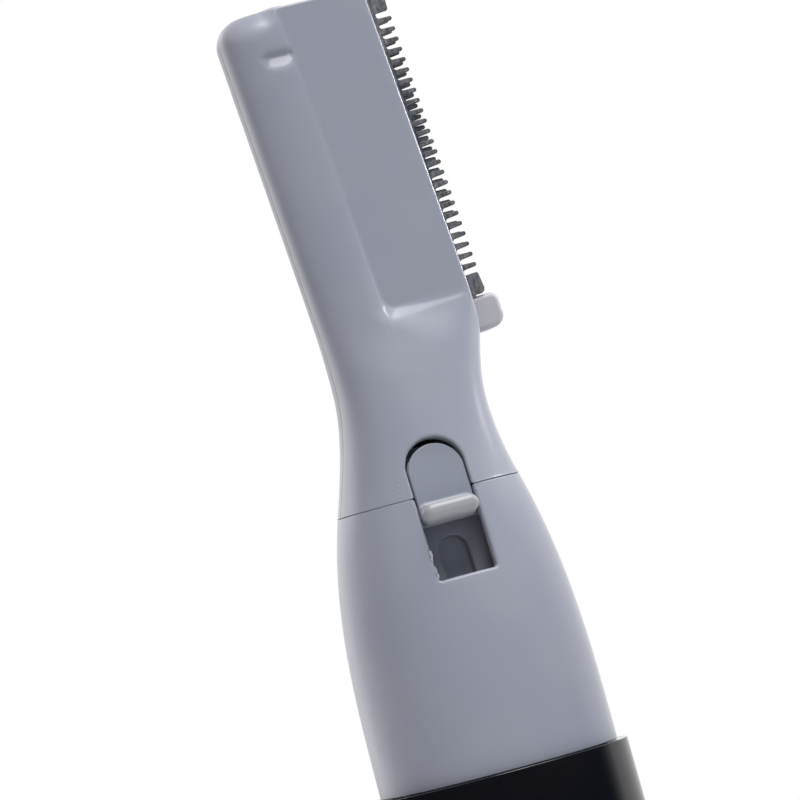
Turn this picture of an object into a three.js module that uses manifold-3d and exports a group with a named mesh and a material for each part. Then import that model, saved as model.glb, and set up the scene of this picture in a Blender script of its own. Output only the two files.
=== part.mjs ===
// Electric facial trimmer: a pen body on one AA cell, a leaning paddle head and a comb with a moving cutter.
// Millimetres, +Z up the handle. The origin is the middle of the flat base, the switch faces -Y and
// the blade edge faces +X.
import * as THREE from 'three';
import { mergeVertices } from 'three/addons/utils/BufferGeometryUtils.js';
import Module from 'manifold-3d';

const wasm = await Module();
wasm.setup();

// Overall heights, from the base upwards
const handleLength = 70;
const collarLength = 22.5;
const neckLength = 14.8;
const paddleLength = 25.9;

// Body outline: half widths and half depths at the named heights
const rimOval = 0.5;
const seamLeft = 7.35;
const seamRight = 7.5;
const seamHalfDepth = 6.75;
const waistLeft = 5.05;
const waistRight = 6.48;
const waistHalfDepth = 5.0;
const waistShare = 0.62;
const waistLeftRise = 0.7;
const waistRightDrop = 2.6;
const paddleFootLeft = 5.22;
const paddleFootHalfDepth = 4.05;
const paddleTopHalfDepth = 3.75;
const paddleLean = 4.56;
const edgeLean = 5.07;
const paddleWidth = 12.67;
const edgeSpare = 0.8;
const edgeSpareGrowth = 0.6;
const rearEdgeSetback = 0.5;
const topCornerRadius = 2.25;
const topEdgeRadius = 0.9;

// Mouldings
const shellWall = 1.25;
const seamGap = 0.12;
const seatGap = 0.3;
const slideGap = 0.1;
const runGap = 0.25;
const farOff = 30;

// Sleeve that closes over the cell
const rimStep = 0.8;
const sleeveBelly = 0.35;
const sleeveWall = 1.5;
const sleeveFloor = 2.0;
const baseRound = 1.8;
const skirtLength = 9;
const skirtOverlap = 2;
const rimSquareness = 2.2;

// Recessed front panel of the paddle and the snap groove on its spine
const panelDepth = 0.75;
const panelThickness = 1.65;
const panelWidth = 7.5;
const recessLeftSlope = 0.5;
const recessFootSlope = 0.9;
const recessReach = 2.5;
const recessCorner = 0.5;
const spineSkin = 1.4;
const coreSpare = 0.5;
const grooveHeight = 0.7;
const grooveLength = 2.3;
const grooveDepth = 0.4;
const grooveBelowTop = 3.6;
const nibHeight = 0.15;
const nibLength = 1.8;
const nibFront = 2.6;
const nibBack = 1.4;
const partingDepth = 0.9;
const headTopWall = 0.6;
const pocketDepth = 4.4;
const pinRadius = 0.6;
const pinShares = [0.18, 0.7];
const socketWall = 0.7;
const tongueHeight = 2;
const tongueWall = 1;
const tongueFront = 1;

// Blade set: fixed comb, reciprocating cutter behind it
const bladeLean = 4.23;
const combDrop = 0.2;
const toothCountSpace = 1.31;
const toothPitch = 0.87;
const toothLength = 1.05;
const toothRoot = 0.44;
const toothTip = 0.29;
const tipReach = 1.2;
const gulletDepth = 0.16;
const blockCorner = 0.25;
const blockTaper = 0.1;
const cutterTipSetback = 0.12;
const cutterBackStep = 0.5;
const endBlockLength = 1.75;
const combThickness = 0.4;
const cutterThickness = 0.35;
const bladeDepth = 3.6;
const cutterStroke = 0.4;
const frameSpare = 0.4;
const frameReach = 0.3;
const blockReach = 0.5;
const nubReach = 2.1;
const nubLength = 2.9;
const nubFootRound = 1.1;
const nubHeadRound = 0.7;
const carrierThickness = 1.1;
const carrierSetback = 0.6;
const carrierEnd = 0.3;
const springSpace = 0.8;
const springLeaf = 0.2;
const springWidth = 1.6;

// Switch
const slotWidth = 4.8;
const slotTop = 4.5;
const slotFoot = 6.7;
const switchPlaneBelowSeam = 1.1;
const switchTilt = 10.6;
const sliderRecess = 0.4;
const sliderThickness = 1.0;
const sliderTopGap = 0.5;
const ridgeHeight = 1.4;
const ridgeReach = 1.3;
const switchTravel = 4.3;
const bedDepth = 2.8;
const bedThickness = 0.8;
const pocketWidth = 2.4;
const pocketSink = 0.5;
const flangeHalfWidth = 2.9;
const flangeThickness = 0.45;
const stemHalf = 0.5;
const stemLength = 1.1;
const stemDrop = 0.9;
const waistHalf = 1.4;
const pocketDrop = 1.35;
const flangeRoom = 0.5;
const bridgeHalfWidth = 1.8;
const wiperRadius = 0.4;
const wiperOffset = 1.2;

// Power train
const motorAxisY = 0.6;
const motorRadius = 6;
const motorFlat = 5;
const motorLength = 15;
const shaftRadius = 0.75;
const shaftLength = 10.5;
const bushRadius = 2;
const bushLength = 1.4;
const camRadius = 2.8;
const camLength = 6.5;
const pegSize = 1.0;
const rodWidth = 1.2;
const camCore = 1.6;
const camAboveCan = 3.2;
const pegRide = 0.8;
const pegTipRoom = 0.35;
const cellRadius = 7.1;
const cellLength = 50.4;
const troughWall = 0.8;
const cellEdge = 0.5;
const buttonRadius = 2.75;
const buttonHeight = 1.3;
const springWire = 0.7;
const springTurns = 4;
const springHeight = 4.6;
const plateThickness = 0.3;
const contactRadius = 4.25;
const bulkheadThickness = 1.6;
const bulkheadOverlap = 0.5;
const yokeFront = 1.5;
const stripWidth = 3;
const footThickness = 1;
const capThickness = 1.4;
const terminalLength = 1.7;
const terminalHalfWidth = 0.8;
const terminalOffset = 2.6;
const springFootRadius = 5.2;
const springTopRadius = 2.8;

// Heights and edges that follow from the sizes above
const rad = THREE.MathUtils.degToRad;
const rimHalfDepth = cellRadius + troughWall + 2 * seatGap + sleeveWall - rimStep;
const rimHalfWidth = rimHalfDepth + rimOval;
const rimZ = handleLength;
const seamZ = rimZ + collarLength;
const paddleFootZ = seamZ + neckLength;
const topZ = paddleFootZ + paddleLength;
const waistZ = seamZ + neckLength * waistShare;
const leanSlope = Math.tan(rad(paddleLean));
const edgeSlope = Math.tan(rad(edgeLean));
const edgeAtFoot = paddleWidth - paddleFootLeft;
const sleeveInnerWidth = rimHalfWidth + rimStep - sleeveWall;
const sleeveInnerDepth = rimHalfDepth + rimStep - sleeveWall;
const panelFront = -(paddleFootHalfDepth - panelDepth);
const panelInner = panelFront + panelThickness;
const pocketBack = panelInner + pocketDepth;
const pocketFootZ = paddleFootZ - nubLength - 2 * seatGap;
const combFootZ = paddleFootZ - combDrop;
const combLength = (topZ - headTopWall - seatGap - combFootZ) / Math.cos(rad(bladeLean));
const toothGap = toothPitch - toothRoot;
const toothCount = Math.floor((combLength - endBlockLength - toothCountSpace - toothGap) / toothPitch);
const combFront = panelInner + runGap;
const cutterFront = combFront + combThickness + slideGap;
const carrierFront = cutterFront + cutterThickness + slideGap;
const frameFront = carrierFront + carrierThickness + springSpace;
const frameThickness = pocketBack - seatGap - frameFront;
const skirtFootZ = rimZ - skirtLength;
const slotTopLocal = (slotTop + switchPlaneBelowSeam) / Math.cos(rad(switchTilt));
const slotFootLocal = -(slotFoot - switchPlaneBelowSeam) / Math.cos(rad(switchTilt));
const ridgeFoot = slotFootLocal + runGap + switchTravel;
const stemTop = slotTopLocal - stemDrop;
const pocketTop = ridgeFoot - pocketDrop;

// Stack of the power train, downwards from the collar's skirt and upwards to the cam
const flangeTop = skirtFootZ - seatGap - slideGap;
const bulkheadFoot = flangeTop - bulkheadOverlap;
const bulkheadTop = flangeTop + bulkheadThickness;
const cellTop = bulkheadFoot - plateThickness - 2 * seatGap;
const cellFoot = cellTop - cellLength;
const springFoot = cellFoot - seatGap - springHeight;
const footZ = springFoot - seatGap - plateThickness - slideGap - footThickness;
const canFoot = bulkheadTop + seatGap + terminalLength + capThickness + 2 * slideGap;
const canTop = canFoot + motorLength;
const noseTop = canTop + seatGap + bushLength;
const camMidZ = canTop + camAboveCan + camLength / 2;
const camTilt = Math.atan(cutterStroke / (pegRide * camRadius));
const camGroove = pegSize + 4 * cutterStroke + 3 * runGap;
const stripUpperY = -(sleeveInnerDepth - runGap - shellWall - 2.5 * seatGap);

// Outline curves: [height, value, slope] stations joined by cubic Hermite spans
const outline = {
  left: [
    [rimZ, rimHalfWidth, 0],
    [seamZ, seamLeft, -0.33],
    [waistZ + waistLeftRise, waistLeft, 0],
    [paddleFootZ, paddleFootLeft, leanSlope],
    [topZ, paddleFootLeft + leanSlope * paddleLength, leanSlope],
  ],
  right: [
    [rimZ, rimHalfWidth, 0],
    [seamZ, seamRight, -0.28],
    [waistZ - waistRightDrop, waistRight, 0],
    [paddleFootZ, edgeAtFoot + edgeSpare, 0.25],
    [topZ, edgeAtFoot + edgeSpare + edgeSpareGrowth - edgeSlope * paddleLength, -edgeSlope],
  ],
  depth: [
    [rimZ, rimHalfDepth, 0],
    [seamZ, seamHalfDepth, -0.2],
    [waistZ, waistHalfDepth, -0.17],
    [paddleFootZ, paddleFootHalfDepth, -0.06],
    [topZ, paddleTopHalfDepth, 0],
  ],
  squareness: [
    [rimZ, rimSquareness, 0],
    [seamZ, 2.3, 0.02],
    [paddleFootZ, 3.3, 0.02],
    [topZ, 3.6, 0],
  ],
};

function valueAt(stations, height) {
  let upper = stations.findIndex(([z]) => z >= height);
  if (upper < 1) upper = upper === 0 ? 1 : stations.length - 1;
  const [z0, value0, slope0] = stations[upper - 1];
  const [z1, value1, slope1] = stations[upper];
  const span = z1 - z0;
  const t = Math.min(Math.max((height - z0) / span, 0), 1);
  const bend = t * t * (3 - 2 * t);
  const lead = t * (1 - t) * (1 - t) * span;
  const trail = t * t * (t - 1) * span;
  return value0 * (1 - bend) + value1 * bend + slope0 * lead + slope1 * trail;
}

// Plane of the switch, tilted to follow the front of the body
const switchZ = seamZ - switchPlaneBelowSeam;
const switchPlane = new THREE.Matrix4().makeRotationX(-rad(switchTilt));
switchPlane.setPosition(0, -valueAt(outline.depth, switchZ), switchZ);

// How far a round of the given radius pulls a side in, near the top of the head
function topRound(radius, height) {
  const climb = Math.max(height - (topZ - radius), 0);
  return radius - Math.sqrt(Math.max(radius * radius - climb * climb, 0));
}

// One superellipse ring, counter-clockwise seen from above
function ring(z, left, right, depth, squareness, points = 32) {
  const middle = (right - left) / 2;
  const halfWidth = (right + left) / 2;
  const power = 2 / squareness;
  return Array.from({ length: points }, (_, k) => {
    const angle = (k / points) * 2 * Math.PI;
    const c = Math.cos(angle);
    const s = Math.sin(angle);
    const x = middle + halfWidth * Math.sign(c) * Math.abs(c) ** power;
    const y = depth * Math.sign(s) * Math.abs(s) ** power;
    return new THREE.Vector3(x, y, z);
  });
}

// The body's outline at a height, drawn in by an inset
function bodyRing(z, inset) {
  const corner = topRound(topCornerRadius, z);
  const edge = topRound(topEdgeRadius, z);
  return ring(
    z,
    valueAt(outline.left, z) - inset - corner,
    valueAt(outline.right, z) - inset - edge,
    valueAt(outline.depth, z) - inset - edge,
    valueAt(outline.squareness, z),
  );
}

// Closed skin over rings listed from the bottom up
function loft(rings) {
  const size = rings[0].length;
  const positions = rings.flat().flatMap((p) => [p.x, p.y, p.z]);
  const faces = [];
  for (let level = 0; level < rings.length - 1; level += 1) {
    for (let k = 0; k < size; k += 1) {
      const a = level * size + k;
      const b = level * size + ((k + 1) % size);
      faces.push(a, b, b + size, a, b + size, a + size);
    }
  }
  const last = (rings.length - 1) * size;
  for (let k = 1; k < size - 1; k += 1) {
    faces.push(0, k + 1, k, last, last + k, last + k + 1);
  }
  const geometry = new THREE.BufferGeometry();
  geometry.setAttribute('position', new THREE.Float32BufferAttribute(positions, 3));
  geometry.setIndex(faces);
  return geometry;
}

function steps(from, to, count) {
  return Array.from({ length: count + 1 }, (_, k) => from + ((to - from) * k) / count);
}

const bodyLoft = (heights, inset) => solid(loft(heights.map((z) => bodyRing(z, inset))));

// Joins and cuts
function solid(geometry) {
  const bare = geometry.clone();
  bare.deleteAttribute('normal');
  bare.deleteAttribute('uv');
  const welded = mergeVertices(bare, 1e-5);
  const vertProperties = new Float32Array(welded.attributes.position.array);
  const corners = welded.index.array;
  const triVerts = new Uint32Array(corners.length);
  let used = 0;
  for (let k = 0; k < corners.length; k += 3) {
    const [a, b, c] = corners.slice(k, k + 3);
    if (a === b || b === c || c === a) continue;
    triVerts.set([a, b, c], used);
    used += 3;
  }
  const mesh = new wasm.Mesh({ numProp: 3, vertProperties, triVerts: triVerts.slice(0, used) });
  return new wasm.Manifold(mesh);
}

function geometryOf(body) {
  const mesh = body.getMesh();
  const geometry = new THREE.BufferGeometry();
  geometry.setAttribute('position', new THREE.BufferAttribute(mesh.vertProperties, 3));
  geometry.setIndex(new THREE.BufferAttribute(mesh.triVerts, 1));
  geometry.computeVertexNormals();
  return geometry;
}

const join = (...bodies) => bodies.reduce((whole, body) => whole.add(body));
const cut = (body, ...tools) => tools.reduce((rest, tool) => rest.subtract(tool), body);

// Basic solids between two corners, about an axis, or from an outline
function box(low, high) {
  const size = high.map((value, axis) => value - low[axis]);
  const middle = high.map((value, axis) => (value + low[axis]) / 2);
  return solid(new THREE.BoxGeometry(...size).translate(...middle));
}

function post(radius, x, y, z0, z1, sides = 24) {
  const rod = new THREE.CylinderGeometry(radius, radius, z1 - z0, sides).rotateX(Math.PI / 2);
  return solid(rod.translate(x, y, (z0 + z1) / 2));
}

function crossPin(radius, x, z, y0, y1, sides = 16) {
  const rod = new THREE.CylinderGeometry(radius, radius, y1 - y0, sides);
  return solid(rod.translate(x, (y0 + y1) / 2, z));
}

// An outline in X and Z, thick in Y
function plate(shape, y0, y1, curveSegments = 6) {
  const depth = y1 - y0;
  const slab = new THREE.ExtrudeGeometry(shape, { depth, bevelEnabled: false, curveSegments });
  return solid(slab.rotateX(Math.PI / 2).translate(0, y1, 0));
}

// An outline in Y and Z, wide in X and centred on x
function ribbon(shape, x, width) {
  const slab = new THREE.ExtrudeGeometry(shape, { depth: width, bevelEnabled: false, curveSegments: 8 });
  return solid(slab.rotateX(Math.PI / 2).rotateZ(Math.PI / 2).translate(x - width / 2, 0, 0));
}

const polygon = (...points) => new THREE.Shape(points.map(([a, b]) => new THREE.Vector2(a, b)));
const lathe = (...points) => {
  const profile = points.map(([radius, z]) => new THREE.Vector2(radius, z));
  return solid(new THREE.LatheGeometry(profile, 24).rotateX(Math.PI / 2));
};

// Materials
function finish(color, roughness, metalness) {
  return () => new THREE.MeshStandardMaterial({ color, roughness, metalness });
}

const greyPlastic = finish(0x969ba8, 0.45, 0);
const paleNylon = finish(0xb4b3ba, 0.5, 0);
const blackGloss = finish(0x0c0e15, 0.12, 0);
const darkSteel = finish(0x6a6c70, 0.35, 0.9);
const brightSteel = finish(0xc4c6ca, 0.25, 1);
const brass = finish(0xb8923f, 0.35, 1);
const whiteNylon = finish(0xe4e2da, 0.55, 0);
const cellJacket = finish(0x3d4c5e, 0.4, 0.2);

const trimmer = new THREE.Group();

function addPart(name, body, material, parent = trimmer) {
  const mesh = new THREE.Mesh(geometryOf(body), material());
  mesh.name = name;
  parent.add(mesh);
}

// Black sleeve: a slightly barrelled tube with a flat, rounded base
function batterySleeve() {
  const swell = (z) => sleeveBelly * Math.sin((Math.PI * z) / handleLength);
  const roundIn = (z) => {
    const drop = Math.max(baseRound - z, 0);
    return baseRound - Math.sqrt(baseRound * baseRound - drop * drop);
  };
  const outerRing = (z) => {
    const grow = rimStep + swell(z) - roundIn(z);
    return ring(z, rimHalfWidth + grow, rimHalfWidth + grow, rimHalfDepth + grow, rimSquareness);
  };
  const rounded = steps(0, Math.PI / 2, 4).map((angle) => baseRound * (1 - Math.cos(angle)));
  const outer = solid(loft([...rounded, ...steps(baseRound, rimZ, 6).slice(1)].map(outerRing)));
  return cut(outer, straightTube(0, sleeveFloor, rimZ + 1));
}

// Straight oval plug that fits the sleeve's bore, drawn in by an inset
function straightTube(inset, z0, z1) {
  const halfWidth = sleeveInnerWidth - inset;
  const level = (z) => ring(z, halfWidth, halfWidth, sleeveInnerDepth - inset, rimSquareness);
  return solid(loft([level(z0), level(z1)]));
}

// Grey collar: flared shell, skirt that plugs into the sleeve, tongue that locates the head
function bodyCollar() {
  const shell = bodyLoft(steps(rimZ + seamGap, seamZ - seamGap / 2, 9), 0);
  const skirt = straightTube(runGap, skirtFootZ, rimZ + skirtOverlap);
  const hollow = bodyLoft(steps(rimZ + skirtOverlap, seamZ + 1, 9), shellWall);
  const bore = straightTube(runGap + shellWall, skirtFootZ - 1, rimZ + skirtOverlap + 1);
  const root = bodyLoft([seamZ - tongueHeight, seamZ - seamGap / 2], shellWall / 2);
  const tongueInset = shellWall + seatGap;
  const tongue = bodyLoft([seamZ - tongueHeight, seamZ + tongueHeight], tongueInset);
  const boreHeights = [seamZ - tongueHeight - 1, seamZ + tongueHeight + 1];
  const tongueBore = bodyLoft(boreHeights, tongueInset + tongueWall);
  const behind = box([-farOff, -tongueFront, seamZ - 2 * tongueHeight], [farOff, farOff, topZ]);
  const locator = cut(join(root, tongue), tongueBore, rodPass()).intersect(behind);
  const tube = cut(join(shell, skirt), hollow, bore, motorBlock(seatGap, skirtFootZ, canTop + seatGap));
  return cut(join(tube, locator), switchSlot(), switchClearance());
}

// Room beside the cam for the cutter's drive rod
function rodPass() {
  const left = camRadius + seatGap;
  const right = camRadius + 3 * seatGap + rodWidth;
  const low = [left, carrierFront - seatGap, seamZ - 2 * tongueHeight];
  return box(low, [right, motorAxisY + pegSize / 2 + seatGap, seamZ + 2 * tongueHeight]);
}

// Switch cuts, drawn in the tilted plane of the switch
function switchSlot() {
  const half = slotWidth / 2;
  const shape = polygon([half, slotFootLocal], [half, slotTopLocal - half]);
  shape.absarc(0, slotTopLocal - half, half, 0, Math.PI, false);
  shape.lineTo(-half, slotFootLocal);
  return tilted(plate(shape, -bedDepth, bedDepth));
}

function switchClearance() {
  const low = [-flangeHalfWidth - flangeRoom, shellWall + flangeRoom, slotFootLocal - seatGap];
  const high = [flangeHalfWidth + flangeRoom, 2 * bedDepth, slotTopLocal + seatGap];
  return tilted(box(low, high));
}

function tilted(body) {
  return solid(geometryOf(body).applyMatrix4(switchPlane));
}

// Head: one outer blank, hollowed once, then parted into a front and a rear shell
function headBlank() {
  const straight = steps(paddleFootZ, topZ - topCornerRadius, 3).slice(1);
  const angles = steps(0, Math.PI / 2, 6).slice(1);
  const rounded = angles.map((angle) => topZ - topCornerRadius * (1 - Math.sin(angle)));
  return bodyLoft([...steps(seamZ + seamGap / 2, paddleFootZ, 9), ...straight, ...rounded], 0);
}

const edgeAt = (z) => edgeAtFoot - edgeSlope * (z - paddleFootZ);
const recessAt = (z) => edgeAt(z) - panelWidth;
const spineAt = (z) => -paddleFootLeft - leanSlope * (z - paddleFootZ);

function headHollow() {
  const neck = bodyLoft(steps(seamZ - 1, pocketFootZ + spineSkin, 8), shellWall);
  const roofZ = topZ - headTopWall;
  const pocketShape = polygon(
    [spineAt(pocketFootZ) + spineSkin, pocketFootZ],
    [farOff, pocketFootZ],
    [farOff, roofZ],
    [spineAt(roofZ) + spineSkin, roofZ],
  );
  const pocket = plate(pocketShape, panelInner, pocketBack);
  const coreFoot = paddleFootZ + spineSkin;
  const coreTop = topZ - grooveBelowTop - grooveHeight / 2 - spineSkin;
  const coreShape = polygon(
    [spineAt(coreFoot) + spineSkin + coreSpare, coreFoot],
    [recessAt(coreFoot) - spineSkin, coreFoot],
    [recessAt(coreTop) - spineSkin, coreTop],
    [spineAt(coreTop) + spineSkin + coreSpare, coreTop],
  );
  const spineCore = plate(coreShape, spineSkin - paddleTopHalfDepth, panelInner + runGap);
  return join(neck, pocket, spineCore);
}

// Everything right of the blade edge, moved left by a setback
function edgeCut(setback) {
  const foot = waistZ;
  const head = topZ + 1;
  const low = edgeAt(foot) - setback;
  const high = edgeAt(head) - setback;
  return plate(polygon([low, foot], [farOff, foot], [farOff, head], [high, head]), -farOff, farOff);
}

// Recess with sloping walls, wider towards the front
function recessCut() {
  const corner = recessCorner;
  const level = (outward) => {
    const share = outward / panelDepth;
    const foot = paddleFootZ + recessFootSlope * (0.5 - share);
    const left = (z) => recessAt(z) - recessLeftSlope * share;
    const head = topZ + 2;
    const points = [
      [left(foot) + corner, foot],
      [farOff, foot],
      [farOff, head],
      [left(head), head],
      [left(foot), foot + corner],
      [left(foot) + corner * 0.3, foot + corner * 0.3],
    ];
    return points.map(([x, z]) => new THREE.Vector3(x, z, outward - panelFront));
  };
  return solid(loft([level(0), level(recessReach)]).rotateX(Math.PI / 2));
}

// Snap groove across the spine, and the small nib on the top edge above it
function snapGroove() {
  const middle = topZ - grooveBelowTop;
  const right = recessAt(middle);
  const low = [right - grooveLength, -paddleFootHalfDepth - 1, middle - grooveHeight / 2];
  return box(low, [right + 1, grooveDepth - paddleTopHalfDepth, middle + grooveHeight / 2]);
}

function topNib() {
  const right = recessAt(topZ) + nibLength / 2;
  return box([right - nibLength, -nibFront, topZ - headTopWall], [right, -nibBack, topZ + nibHeight]);
}

const pinHeights = pinShares.map((share) => paddleFootZ + paddleLength * share);
const pinX = (z) => (spineAt(z) + recessAt(z)) / 2 + seatGap;

function headFrontShell() {
  const front = box([-farOff, -farOff, 0], [farOff, partingDepth - seamGap / 2, topZ + farOff]);
  const shell = cut(headBlank(), headHollow(), edgeCut(0), recessCut(), snapGroove()).intersect(front);
  const bosses = pinHeights.flatMap((z) => [
    crossPin(2 * pinRadius, pinX(z), z, -paddleTopHalfDepth + 1, partingDepth - seamGap / 2),
    crossPin(pinRadius, pinX(z), z, 0, pocketBack - 2 * seatGap),
  ]);
  return cut(join(shell, topNib(), ...bosses), switchSlot(), switchClearance());
}

function headRearShell() {
  const rear = box([-farOff, partingDepth + seamGap / 2, 0], [farOff, farOff, topZ + farOff]);
  const shell = cut(headBlank(), headHollow(), edgeCut(rearEdgeSetback)).intersect(rear);
  const socket = (radius, y1) => (z) => crossPin(radius, pinX(z), z, partingDepth + seamGap / 2, y1);
  const sleeves = pinHeights.map(socket(pinRadius + seatGap + socketWall, pocketBack + seatGap));
  const bores = pinHeights.map(socket(pinRadius + seatGap, pocketBack - seatGap));
  return cut(join(shell, ...sleeves), ...bores);
}

// Blade set, drawn with x out of the edge and z along the blade
const rootX = tipReach - toothLength;
const combHeadStart = endBlockLength + toothGap + toothCount * toothPitch;
const firstTooth = endBlockLength + toothGap + toothRoot / 2;
// The cutter has one tooth fewer over the same span, so that few teeth cut at once
const cutterCount = toothCount - 1;
const cutterPitch = ((toothCount - 1) * toothPitch) / (cutterCount - 1);
const cutterFoot = firstTooth - cutterPitch / 2;
const cutterHead = firstTooth + (cutterCount - 1) * cutterPitch + toothRoot / 2;
const pinAlong = [endBlockLength / 2, combLength - toothCountSpace / 2];
const combPinX = -0.6 * bladeDepth;

// A row of tapered, round-tipped teeth with round gaps between them
function addTeeth(shape, count, pitch, reach) {
  const root = reach - toothLength;
  const tip = toothTip / 2;
  for (let k = 0; k < count; k += 1) {
    const middle = firstTooth + k * pitch;
    const foot = middle - toothRoot / 2;
    shape.quadraticCurveTo(root - gulletDepth, foot - toothGap / 2, root, foot);
    shape.absarc(reach - tip, middle, tip, -Math.PI / 2, Math.PI / 2, false);
    shape.lineTo(root, middle + toothRoot / 2);
  }
}

function combBlade() {
  const shape = polygon(
    [-bladeDepth, 0],
    [tipReach - blockCorner, 0],
    [tipReach, blockCorner],
    [tipReach - blockTaper, endBlockLength],
    [rootX, endBlockLength],
  );
  addTeeth(shape, toothCount, toothPitch, tipReach);
  shape.lineTo(rootX, combHeadStart);
  shape.lineTo(tipReach - blockTaper, combHeadStart);
  shape.lineTo(tipReach, combLength);
  shape.lineTo(-bladeDepth, combLength);
  const holes = pinAlong.map((z) => crossPin(pinRadius + seatGap, combPinX, z, -farOff, farOff));
  return cut(plate(shape, combFront, combFront + combThickness, 2), ...holes);
}

function cutterBlade() {
  const reach = tipReach - cutterTipSetback;
  const back = cutterBackStep - bladeDepth;
  const shape = polygon([back, cutterFoot], [reach - toothLength, cutterFoot]);
  addTeeth(shape, cutterCount, cutterPitch, reach);
  shape.lineTo(back, cutterHead);
  return plate(shape, cutterFront, cutterFront + cutterThickness, 2);
}

// Carrier that pushes the cutter, with a drive rod down the neck and a peg that rides in the cam
function cutterCarrier() {
  const camAlong = bladePoint(0, camMidZ);
  const rodX = bladePoint(camRadius + 2 * seatGap + rodWidth / 2, camMidZ).x;
  const rodFoot = camAlong.y - pegSize;
  const left = rodX - rodWidth / 2;
  const right = rodX + rodWidth / 2;
  const foot = cutterFoot + carrierEnd;
  const head = cutterHead - carrierEnd;
  const shape = polygon(
    [left, rodFoot],
    [right, rodFoot],
    [right, foot],
    [-carrierSetback, foot],
    [-carrierSetback, head],
    [-bladeDepth, head],
    [-bladeDepth, foot + 3 * rodWidth],
    [left, foot + 1.5 * rodWidth],
  );
  const bar = plate(shape, carrierFront, carrierFront + carrierThickness);
  const pegBack = motorAxisY + pegSize / 2;
  const boss = box([left, carrierFront, rodFoot], [right, pegBack, camAlong.y + pegSize]);
  const pegTip = bladePoint(camCore + pegTipRoom, camMidZ).x;
  const peg = box(
    [pegTip, motorAxisY - pegSize / 2, camAlong.y - pegSize / 2],
    [rodX, pegBack, camAlong.y + pegSize / 2],
  );
  return join(bar, boss, peg);
}

// World X and Z to the blade set's own x and z
function bladePoint(x, z) {
  const fromFoot = new THREE.Vector2(x - edgeAt(combFootZ), z - combFootZ);
  return fromFoot.rotateAround(new THREE.Vector2(), -rad(bladeLean));
}

// Frame behind the blades, with end blocks for the comb and the nub below it
function bladeFrame() {
  const back = frameFront + frameThickness;
  const combBack = combFront + combThickness + slideGap;
  const overlap = frameThickness / 4;
  const lowerEnd = cutterFoot - cutterStroke - runGap;
  const upperEnd = cutterHead + cutterStroke + runGap;
  const base = box([-bladeDepth - frameSpare, frameFront, -nubLength], [frameReach, back, combLength]);
  const lower = box([-bladeDepth, combBack, -nubLength], [blockReach, frameFront + overlap, lowerEnd]);
  const upper = box([-bladeDepth, combBack, upperEnd], [blockReach, frameFront + overlap, combLength]);
  const nubTop = -slideGap;
  const nub = new THREE.Shape();
  nub.moveTo(-nubReach, -nubLength);
  nub.absarc(nubReach - nubFootRound, nubFootRound - nubLength, nubFootRound, -Math.PI / 2, 0, false);
  nub.absarc(nubReach - nubHeadRound, nubTop - nubHeadRound, nubHeadRound, 0, Math.PI / 2, false);
  nub.lineTo(-nubReach, nubTop);
  const stop = plate(nub, combFront + slideGap, back, 3);
  const holeBack = frameFront + 2 * seatGap;
  const holes = pinAlong.map((z) => crossPin(pinRadius + seatGap, combPinX, z, -farOff, holeBack));
  return cut(join(base, lower, upper, stop), ...holes);
}

const combPin = (z) => crossPin(pinRadius, combPinX, z, combFront, frameFront + seatGap);

// Bowed leaf that presses the carrier and cutter against the comb
function bladeSpring() {
  const back = frameFront - slideGap;
  const crown = carrierFront + carrierThickness + slideGap;
  const foot = combLength * 0.25;
  const head = combLength * 0.75;
  const shape = new THREE.Shape();
  shape.moveTo(back, foot);
  shape.quadraticCurveTo(2 * (crown + springLeaf) - back, (foot + head) / 2, back, head);
  shape.lineTo(back - springLeaf, head);
  shape.quadraticCurveTo(2 * crown - back + springLeaf, (foot + head) / 2, back - springLeaf, foot);
  return ribbon(shape, -bladeDepth / 2, springWidth);
}

// Switch, drawn in its tilted plane: -Y outwards, z up the slot
function switchSlider() {
  const half = slotWidth / 2 - runGap;
  const top = slotTopLocal - sliderTopGap;
  const face = polygon([-half, ridgeFoot], [half, ridgeFoot], [half, top - half]);
  face.absarc(0, top - half, half, 0, Math.PI, false);
  const tongueBack = sliderRecess + sliderThickness;
  const tongue = plate(face, sliderRecess, tongueBack);
  const nose = ridgeHeight / 2;
  const profile = polygon([tongueBack, ridgeFoot], [nose - ridgeReach, ridgeFoot]);
  profile.absarc(nose - ridgeReach, ridgeFoot + nose, nose, -Math.PI / 2, Math.PI / 2, true);
  profile.lineTo(tongueBack, ridgeFoot + ridgeHeight);
  const stadium = new THREE.Shape();
  stadium.absarc(half - nose, ridgeFoot + nose, nose, -Math.PI / 2, Math.PI / 2, false);
  stadium.absarc(nose - half, ridgeFoot + nose, nose, Math.PI / 2, 1.5 * Math.PI, false);
  const ridge = ribbon(profile, 0, 2 * half).intersect(plate(stadium, -farOff, farOff));
  const flangeBack = bedDepth - seatGap;
  const flangeFront = flangeBack - flangeThickness;
  const waist = box([-waistHalf, sliderThickness, ridgeFoot], [waistHalf, flangeBack, stemTop]);
  const flange = box([-flangeHalfWidth, flangeFront, ridgeFoot], [flangeHalfWidth, flangeBack, stemTop]);
  const stemBack = bedDepth + bedThickness + seatGap;
  const stem = box([-stemHalf, flangeFront, stemTop - stemLength], [stemHalf, stemBack, stemTop]);
  return join(tongue, ridge, waist, flange, stem);
}

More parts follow.
